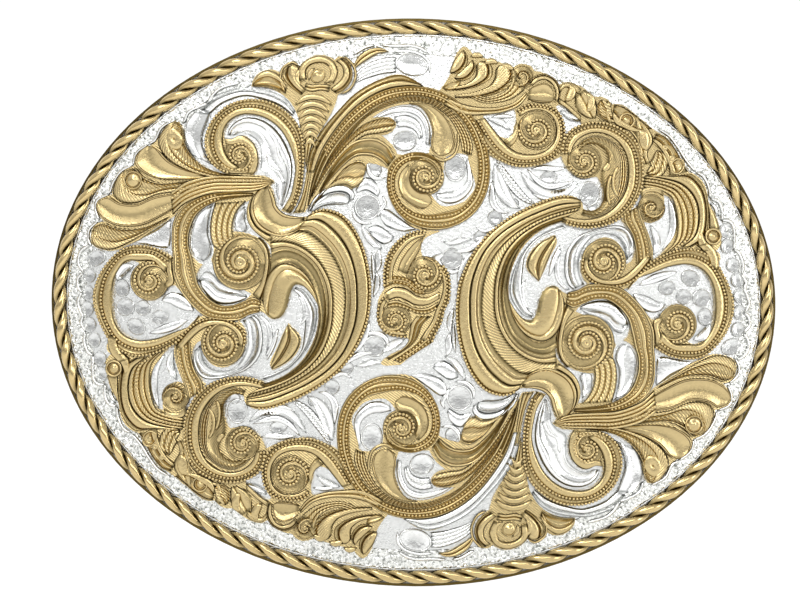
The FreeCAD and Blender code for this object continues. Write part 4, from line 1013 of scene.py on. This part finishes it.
    r.ribbon(
        [(7.2, 20), (7.7, 18), (7.9, 16.4), (7.2, 15), (5.8, 13.9), (4.2, 13.7), (2.9, 14.3)],
        [(6.8, 19.6), (7, 18), (6.9, 16.8), (6.2, 15.9), (5.2, 15.4), (4.2, 15.3), (2.8, 15)],
        SOFT, 0.9)


SCALLOPS = [
    [(-24.5, 29.9), (-27, 29.2), (-28.3, 28.2), (-29, 27)],
    [(-29, 27), (-30.5, 26.4), (-31.8, 25.6), (-32.3, 24.2)],
    [(-33.4, 24.7), (-35.4, 23.6), (-36.3, 21.9), (-37.3, 21.2)],
    [(-37.3, 21.2), (-38.9, 20), (-39.4, 18.3)],
    [(-39.4, 18.3), (-41, 17.5), (-42.2, 15.8), (-42.7, 14.2)],
    [(-42.7, 14.2), (-44.4, 13.4), (-44.6, 12), (-44, 10.6)],
    [(-44.2, 10.4), (-45.4, 9.4), (-45.6, 8), (-45, 6.9)],
    [(-45.3, 7.2), (-46.5, 6.4), (-47, 5.2), (-46.8, 4.2), (-46.1, 3.3)],
    [(-46.2, 3.3), (-47, 2.4), (-46.9, 1.2), (-46.2, 0.4)],
    [(-46.3, 0.6), (-46.9, -0.7), (-46.6, -1.9), (-46.2, -2.8), (-46.4, -3.8), (-45.6, -5)],
    [(-45.8, -4.8), (-45.9, -6.4), (-45.3, -7.8), (-44.5, -8.3)],
    [(-44.6, -8.2), (-44.6, -10), (-44.4, -11.6), (-43.6, -12.3), (-42.7, -12.2)],
    [(-42.7, -12.2), (-42.8, -13.6), (-42.2, -14.9), (-41, -15.3)],
    [(-41, -15.3), (-40.8, -16.8), (-40, -18.3), (-38.9, -18.9)],
    [(-38.9, -18.9), (-37.4, -20.6), (-36.2, -22.4), (-34.9, -23.9), (-33.4, -24.7)],
    [(-5.2, 35.3), (-3.2, 35.2), (-1.2, 35.3), (0.2, 35), (1.4, 34.3)],
    [(-9, 33.9), (-7.4, 34.9), (-6, 35.3)],
]


def draw_silver_edge(r):
    """The scalloped line and small curls between the field and the stippled border."""
    for points in SCALLOPS:
        r.line(points, 0.55, 0.85)
    r.disc(-44.5, 5.3, 1.5, BOWL, 0.8, 0, 0.75, 30)
    for x, z in (
            (-45.4, 2.9), (-45.6, 0.5), (-45.6, -1.8), (-45.2, -4.0), (-44.5, -6.1), (-43.6, -8.7),
            (-43.4, -10.9)):
        r.disc(x, z, 0.98, BOWL, 0.8, 0, 1.12)
    r.ribbon(
        [(-42.3, -12.8), (-42.2, -14), (-41.4, -14.8)],
        [(-41.7, -13.2), (-41.5, -13.9), (-41, -14.4)],
        CUSHION, 0.7)


# ---------------------------------------------------------------- building the pieces
def slab_of(node, lowered):
    """Points and faces of a CAD node, in mm in plan form, its front lowered to a height."""
    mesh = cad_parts[node].data
    co = np.zeros(len(mesh.vertices) * 3)
    mesh.vertices.foreach_get("co", co)
    co = co.reshape(-1, 3) * 1000
    height = np.sqrt(co[:, 0] ** 2 + (BEND_RADIUS - co[:, 1]) ** 2) - BEND_RADIUS
    height = np.minimum(height, lowered)
    faces = [list(p.vertices) for p in mesh.polygons]
    return np.column_stack([co[:, 0], co[:, 2], height]), faces


def turned(points):
    """Plan points half a turn round the front-to-back axis."""
    out = points.copy()
    out[:, :2] *= -1
    return out


def relief_piece(name, node, draws, material, half_turn=False, ground=GOLD_GROUND,
                 top=OVERLAY_TOP):
    """One chased piece: the CAD node's slab with the drawn relief standing on it."""
    relief = Relief(ground, top)
    for draw in draws:
        draw(relief)
    points = np.vstack(relief.points)
    chase = np.vstack(relief.chase)
    points[:, 2] = np.minimum(points[:, 2], HIGHEST)
    if half_turn:
        points = turned(points)
    faces = relief.faces
    if node is not None:
        slab, slab_faces = slab_of(node, ground)
        # The flat ground sits at a middling level of the painted shade (with patina), with light hatching.
        share = np.full(len(slab), 0.4)
        strength = np.full(len(slab), 0.35)
        flat = np.column_stack([slab[:, 0], slab[:, 1], share, strength])
        faces = faces + [[i + len(points) for i in face] for face in slab_faces]
        points = np.vstack([points, slab])
        chase = np.vstack([chase, flat])
    finish_piece(make_mesh(name, bent(points), faces, chase), material, node)


def stippled_border(material):
    """The silver border between the field's edge and the rope, struck all over with a punch."""
    rows, cols = 1800, 17
    angle = np.linspace(0, 2 * math.pi, rows, endpoint=False)[:, None]
    share = np.linspace(0, 1, cols)[None]
    half_x, half_z = [near + (far - near) * share for near, far in zip(BORDER_INNER, BORDER_OUTER)]
    x = half_x * np.cos(angle)
    z = half_z * np.sin(angle)
    x[:, 1:-1] += rng.normal(0, 0.04, (rows, cols - 2))
    z[:, 1:-1] += rng.normal(0, 0.05, (rows, cols - 2))
    h = SILVER_TOP + 0.03 + 0.17 * rng.random((rows, cols))
    h[:, 0] = SILVER_TOP - 0.1
    h[:, -1] = SILVER_TOP - 0.1
    points = np.column_stack([x.ravel(), z.ravel(), h.ravel()])
    index = np.arange(rows * cols).reshape(rows, cols)
    after = np.roll(index, -1, axis=0)
    quads = np.stack([index[:, :-1], index[:, 1:], after[:, 1:], after[:, :-1]], -1).reshape(-1, 4)
    under = np.stack([index[:, -1], index[:, 0], after[:, 0], after[:, -1]], -1)
    faces = quads.tolist() + under.tolist()
    # Punched pits darker than the raised grain: painted shade with some patina.
    level_share = np.clip((h.ravel() - SILVER_TOP) / 0.2, 0, 1)
    chase = np.column_stack([points[:, 0], points[:, 1], level_share, 0 * level_share])
    finish_piece(make_mesh("silver_border", bent(points), faces, chase), material)


def rope_centre(angle):
    """A point of the rope's centre line, mm."""
    x = (WIDTH / 2 - RIM_INSET) * np.cos(angle)
    z = (HEIGHT / 2 - RIM_INSET) * np.sin(angle)
    y = BEND_RADIUS - np.sqrt((BEND_RADIUS + ROPE_HEIGHT) ** 2 - x * x)
    return np.column_stack([x, y, z])


def rope_strand(name, node, phase, material):
    """One twisted wire of the rope edge: full lobes that fill the rope's round outline."""
    fine = np.linspace(0, 2 * math.pi, 4001)
    lengths = np.r_[0, np.cumsum(np.linalg.norm(np.diff(rope_centre(fine), axis=0), axis=1))]
    rows = ROPE_TURNS * ROPE_ROWS
    angle = np.interp(np.arange(rows) * lengths[-1] / rows, lengths, fine)
    centre = rope_centre(angle)
    along = rope_centre(angle + 0.001) - rope_centre(angle - 0.001)
    along /= np.linalg.norm(along, axis=1, keepdims=True)
    ahead = np.column_stack([centre[:, 0], centre[:, 1] - BEND_RADIUS, 0 * angle])
    side = np.cross(along, ahead)
    side /= np.linalg.norm(side, axis=1, keepdims=True)
    ahead = np.cross(side, along)
    turn = phase - 2 * math.pi * ROPE_TURNS * np.arange(rows) / rows
    out = side * np.cos(turn)[:, None] + ahead * np.sin(turn)[:, None]
    over = np.cross(along, out)
    spread = np.linspace(-1, 1, 15)
    reach = ROPE_RADIUS * (1 - 0.66 * np.abs(spread) ** 2.7)
    u = np.r_[reach * np.cos(spread * math.pi / 2), 0.0]
    v = np.r_[reach * np.sin(spread * math.pi / 2), 0.0]
    sides = len(u)
    points = centre[:, None] + out[:, None] * u[None, :, None] + over[:, None] * v[None, :, None]
    index = np.arange(rows * sides).reshape(rows, sides)
    after = np.roll(index, -1, axis=0)
    quads = np.stack([index, np.roll(index, -1, 1), np.roll(after, -1, 1), after], -1).reshape(-1, 4)
    # Painted shade in the grooves between lobes: bright on each lobe's crown, dark where lobes meet.
    share = np.tile(np.r_[1 - np.abs(spread) ** 2.2, 0.0], rows)
    along_mm = np.repeat(np.arange(rows) * lengths[-1] / rows, sides)
    chase = np.column_stack([along_mm, np.tile(v, rows), share, 0 * share])
    piece = make_mesh(name, points.reshape(-1, 3) / 1000, quads.tolist(), chase, 60)
    finish_piece(piece, material, node)


# ---------------------------------------------------------------- materials
def join(tree, source, socket):
    """Feeds a socket from another node's output, or sets it to a constant."""
    if isinstance(source, bpy.types.NodeSocket):
        tree.links.new(source, socket)
    else:
        socket.default_value = source


def noise(tree, where, scale, detail):
    node = tree.nodes.new("ShaderNodeTexNoise")
    node.inputs["Scale"].default_value = scale
    node.inputs["Detail"].default_value = detail
    tree.links.new(where, node.inputs["Vector"])
    return node.outputs["Fac"]


def stretched(tree, where, scale, turn=(0, 0, 0)):
    node = tree.nodes.new("ShaderNodeMapping")
    node.inputs["Scale"].default_value = scale
    node.inputs["Rotation"].default_value = turn
    tree.links.new(where, node.inputs["Vector"])
    return node.outputs["Vector"]


def maths(tree, operation, *values, clamp=False):
    node = tree.nodes.new("ShaderNodeMath")
    node.operation = operation
    node.use_clamp = clamp
    for value, socket in zip(values, node.inputs):
        join(tree, value, socket)
    return node.outputs[0]


def remap(tree, value, low, high, to_low=0.0, to_high=1.0):
    node = tree.nodes.new("ShaderNodeMapRange")
    node.inputs["From Min"].default_value = low
    node.inputs["From Max"].default_value = high
    node.inputs["To Min"].default_value = to_low
    node.inputs["To Max"].default_value = to_high
    tree.links.new(value, node.inputs["Value"])
    return node.outputs["Result"]


def blend(tree, factor, a, b, kind="RGBA", mode="MIX"):
    node = tree.nodes.new("ShaderNodeMix")
    node.data_type = kind
    node.blend_type = mode
    join(tree, factor, node.inputs["Factor"])
    join(tree, a, node.inputs["A"])
    join(tree, b, node.inputs["B"])
    return node.outputs["Result"]


def bump(tree, height, strength, shader):
    node = tree.nodes.new("ShaderNodeBump")
    node.inputs["Strength"].default_value = strength
    node.inputs["Distance"].default_value = 0.0001
    tree.links.new(height, node.inputs["Height"])
    tree.links.new(node.outputs["Normal"], shader.inputs["Normal"])


def new_material(name, metallic=0.0):
    """A material with one principled shader; returns it with its tree and shader."""
    material = bpy.data.materials.new(name)
    material.use_nodes = True
    tree = material.node_tree
    tree.nodes.clear()
    shader = tree.nodes.new("ShaderNodeBsdfPrincipled")
    shader.inputs["Metallic"].default_value = metallic
    output = tree.nodes.new("ShaderNodeOutputMaterial")
    tree.links.new(shader.outputs["BSDF"], output.inputs["Surface"])
    return material, tree, shader


def plated_metal(name, bright, dark, roughness, grain=0.10, hatch_depth=0.5, cavity=(0.0, 0.55),
                 speck=0.5):
    """Plated metal: darker low down and at the feet of raised shapes (partly patina, partly painted
    shade), fine cut hatching with painted light and shade along it, rubbing marks and a soft mottle.
    """
    material, tree, shader = new_material(name, 1.0)
    chase = tree.nodes.new("ShaderNodeAttribute")
    chase.attribute_name = "chase"
    split = tree.nodes.new("ShaderNodeSeparateColor")
    tree.links.new(chase.outputs["Color"], split.inputs["Color"])
    place = tree.nodes.new("ShaderNodeTexCoord").outputs["Object"]
    mottle = noise(tree, place, 2600, 4)
    # Painted shade with some patina: the colour darkens with the height share, low ground and shape feet
    # darkest; the mottle adds random tone.
    recess = remap(tree, split.outputs["Blue"], *cavity)
    jitter = maths(tree, "MULTIPLY_ADD", mottle, speck, -0.5 * speck)
    patina_shade_and_mottle = maths(tree, "ADD", recess, jitter, clamp=True)
    tone = blend(tree, patina_shade_and_mottle, (*dark, 1), (*bright, 1))
    slant = maths(tree, "MULTIPLY_ADD", split.outputs["Red"], 0.7, split.outputs["Green"])
    lines = maths(tree, "SINE", maths(tree, "MULTIPLY", slant, 2 * math.pi / HATCH_PITCH))
    hatching = maths(tree, "MULTIPLY", lines, chase.outputs["Alpha"])
    # Painted light and shade along the hatch cuts: the colour is darkened in each cut and lightened
    # between, besides the bump.
    shade = remap(tree, hatching, -1, 1, 0.6, 1.18)
    tree.links.new(blend(tree, 1.0, tone, shade, mode="MULTIPLY"), shader.inputs["Base Color"])
    rough = remap(tree, noise(tree, place, 140, 3), 0, 1, roughness * 0.7, roughness * 1.4)
    tree.links.new(rough, shader.inputs["Roughness"])
    rubbed = noise(tree, stretched(tree, place, (2600, 2600, 400), (0.2, 0.5, 0.1)), 1.0, 3)
    fine = maths(tree, "MULTIPLY_ADD", rubbed, 0.15, maths(tree, "MULTIPLY", mottle, grain))
    bump(tree, maths(tree, "MULTIPLY_ADD", hatching, hatch_depth, fine), 0.35, shader)
    return material


def brushed_metal(name, bright, dark, roughness, stretch):
    """Bare metal with brush marks, small pits and patches of handling tarnish."""
    material, tree, shader = new_material(name, 1.0)
    place = tree.nodes.new("ShaderNodeTexCoord").outputs["Object"]
    marks = noise(tree, stretched(tree, place, stretch), 1.0, 5)
    patches = noise(tree, place, 85, 6)
    pits = tree.nodes.new("ShaderNodeTexVoronoi")
    pits.inputs["Scale"].default_value = 700
    tree.links.new(place, pits.inputs["Vector"])
    pitted = remap(tree, pits.outputs["Distance"], 0.08, 0.20)
    spread = remap(tree, maths(tree, "ADD", marks, patches), 0.70, 1.30)
    clean = maths(tree, "MULTIPLY", spread, pitted)
    tree.links.new(blend(tree, clean, (*dark, 1), (*bright, 1)), shader.inputs["Base Color"])
    rough = remap(tree, clean, 0, 1, roughness * 1.4, roughness * 0.7)
    tree.links.new(rough, shader.inputs["Roughness"])
    bump(tree, clean, 0.5, shader)
    return material


# Each plated metal runs from its bright colour on high parts to its dark colour low down and at shape
# feet: partly patina, partly painted shade.
GOLD = plated_metal("gold_plate", (0.57, 0.447, 0.225), (0.17, 0.13, 0.055), 0.24, grain=0.9,
                    hatch_depth=1.3, cavity=(-0.05, 0.5))
# The rope's dark colour is the painted shade in the grooves between its lobes.
GOLD_ROPE = plated_metal("gold_rope", (0.62, 0.475, 0.23), (0.08, 0.06, 0.022), 0.18, hatch_depth=0,
                         cavity=(0.1, 0.8))
# A much darker copy of the gold: painted shade standing in for the dark band outside the rope.
GOLD_RIM_SHADED = plated_metal("gold_rim", (0.24, 0.20, 0.10), (0.10, 0.07, 0.02), 0.22)
SILVER = plated_metal("silver_plate", (0.86, 0.865, 0.85), (0.15, 0.16, 0.15), 0.17, grain=0.9,
                      cavity=(-0.15, 0.3))
SILVER_GROUND = plated_metal("silver_ground", (0.86, 0.865, 0.85), (0.30, 0.31, 0.30), 0.25, grain=2.5,
                             cavity=(-0.6, 0.2))
SILVER_STIPPLE = plated_metal("silver_stipple", (0.84, 0.845, 0.81), (0.16, 0.17, 0.15), 0.25, grain=2.5,
                              cavity=(-0.4, 0.7), speck=4.0)
NICKEL = brushed_metal("nickel_back", (0.70, 0.69, 0.64), (0.36, 0.35, 0.31), 0.30, (90, 90, 2400))
STEEL = brushed_metal("drawn_wire", (0.66, 0.66, 0.65), (0.34, 0.34, 0.34), 0.22, (1800, 1800, 120))


# ---------------------------------------------------------------- assembly
PAIRS = {
    "main_leaf": draw_main_leaf,
    "upper_scroll": draw_upper_scroll,
    "leaf_fan": draw_leaf_fan,
    "stem": draw_stem,
    "scroll_high": draw_scroll_high,
    "side_scroll": draw_side_scroll,
    "scroll_low": draw_scroll_low,
    "side_leaf": draw_side_leaf,
    "great_scroll": draw_great_scroll,
    "lesser_scroll": draw_lesser_scroll,
    "edge_leaves_side": draw_edge_leaves_side,
    "edge_leaves_base": draw_edge_leaves_base,
    "flower": draw_flower,
    "crown_scroll": draw_crown_scroll,
    "edge_sliver": draw_edge_sliver,
    "leaf_island": draw_leaf_island,
}
for motif, draw in PAIRS.items():
    for number, half_turn in ((1, False), (2, True)):
        node = f"{motif}_{number}"
        relief_piece("chased_" + node, node, [draw], GOLD, half_turn)
relief_piece("chased_centre_scroll", "centre_scroll", [draw_centre_scroll], GOLD)
relief_piece("crown_band_1", None, [draw_crown_band], GOLD)
relief_piece("crown_band_2", None, [draw_crown_band], SILVER, True)
relief_piece("silver_relief_1", None, [draw_silver_half, draw_silver_edge], SILVER,
             False, SILVER_TOP, SILVER_RELIEF_TOP)
relief_piece("silver_relief_2", None, [draw_silver_half, draw_silver_edge], SILVER,
             True, SILVER_TOP, SILVER_RELIEF_TOP)
stippled_border(SILVER_STIPPLE)
rope_strand("rope_lay_a", "rope_strand_a", 0.0, GOLD_ROPE)
rope_strand("rope_lay_b", "rope_strand_b", math.pi, GOLD_ROPE)


def paint(node, material):
    """Gives a CAD node its finished material."""
    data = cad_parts[node].data
    data.materials.clear()
    data.materials.append(material)


paint("back_plate", NICKEL)
paint("rim_band", GOLD_RIM_SHADED)
paint("face_plate", SILVER_GROUND)
for node in ("hinge_tube", "hinge_saddle_upper", "hinge_saddle_lower", "hook_base", "hook_post"):
    paint(node, NICKEL)
paint("bail_loop", STEEL)


# ---------------------------------------------------------------- stage, light, camera
def stage():
    """A large pale floor under the buckle."""
    low = cad_box[0][2] - FLOOR_GAP
    corners = [(x * FLOOR_HALF, y * FLOOR_HALF, low) for x, y in ((-1, -1), (1, -1), (1, 1), (-1, 1))]
    mesh = bpy.data.meshes.new("floor")
    mesh.from_pydata(corners, [], [(0, 1, 2, 3)])
    floor = bpy.data.objects.new("floor", mesh)
    bpy.context.scene.collection.objects.link(floor)
    material, tree, shader = new_material("floor_paper")
    shader.inputs["Base Color"].default_value = (0.98, 0.98, 0.98, 1)
    shader.inputs["Roughness"].default_value = 0.9
    mesh.materials.append(material)


def area_light(name, place, size, power):
    """A white rectangular light aimed at the buckle's middle."""
    data = bpy.data.lights.new(name, "AREA")
    data.shape = "RECTANGLE"
    data.size, data.size_y = size
    data.energy = power
    light = bpy.data.objects.new(name, data)
    light.location = place
    light.rotation_euler = (-Vector(place)).to_track_quat("-Z", "Y").to_euler()
    bpy.context.scene.collection.objects.link(light)


def studio():
    """Plain white behind the buckle and straight to the camera; before it, a soft uneven tent."""
    world = bpy.data.worlds.new("studio")
    bpy.context.scene.world = world
    world.use_nodes = True
    tree = world.node_tree
    where = tree.nodes.new("ShaderNodeTexCoord").outputs["Generated"]
    split = tree.nodes.new("ShaderNodeSeparateXYZ")
    tree.links.new(where, split.inputs["Vector"])
    tent = remap(tree, noise(tree, where, 2.6, 1.5), 0.36, 0.50, TENT_DARK, TENT_BRIGHT)
    behind = remap(tree, split.outputs["Y"], 0.1, 0.6)
    around = blend(tree, behind, tent, BACKDROP, "FLOAT")
    above = remap(tree, split.outputs["Z"], -0.16, 0.26, SKY_LEAST, SKY_EXTRA)
    light = maths(tree, "ADD", around, above)
    direct = tree.nodes.new("ShaderNodeLightPath").outputs["Is Camera Ray"]
    background = tree.nodes["Background"]
    background.inputs["Color"].default_value = (1, 1, 1, 1)
    tree.links.new(blend(tree, direct, light, BACKDROP, "FLOAT"), background.inputs["Strength"])
    area_light("key", (-0.22, -0.40, 0.42), (0.22, 0.16), 1.0)
    area_light("top", (0.0, -0.34, 0.12), (0.40, 0.06), 0.35)
    area_light("fill", (0.45, -0.35, 0.10), (0.12, 0.30), 0.6)
    bpy.context.scene.view_settings.view_transform = "Standard"


def camera():
    """A long lens square on to the front, as far off as makes the buckle fill its share."""
    focal, sensor = 100.0, 36.0
    view_width = WIDTH / BUCKLE_SHARE / 1000
    data = bpy.data.cameras.new("camera")
    data.lens = focal
    data.sensor_width = sensor
    data.shift_x = SHIFT_X
    data.shift_y = SHIFT_Y
    data.clip_start = 0.01
    eye = bpy.data.objects.new("camera", data)
    eye.location = (0, -focal / sensor * view_width, 0)
    eye.rotation_euler = (math.radians(90), math.radians(ROLL), 0)
    bpy.context.scene.collection.objects.link(eye)
    bpy.context.scene.camera = eye


stage()
studio()
camera()
bpy.context.view_layer.update()
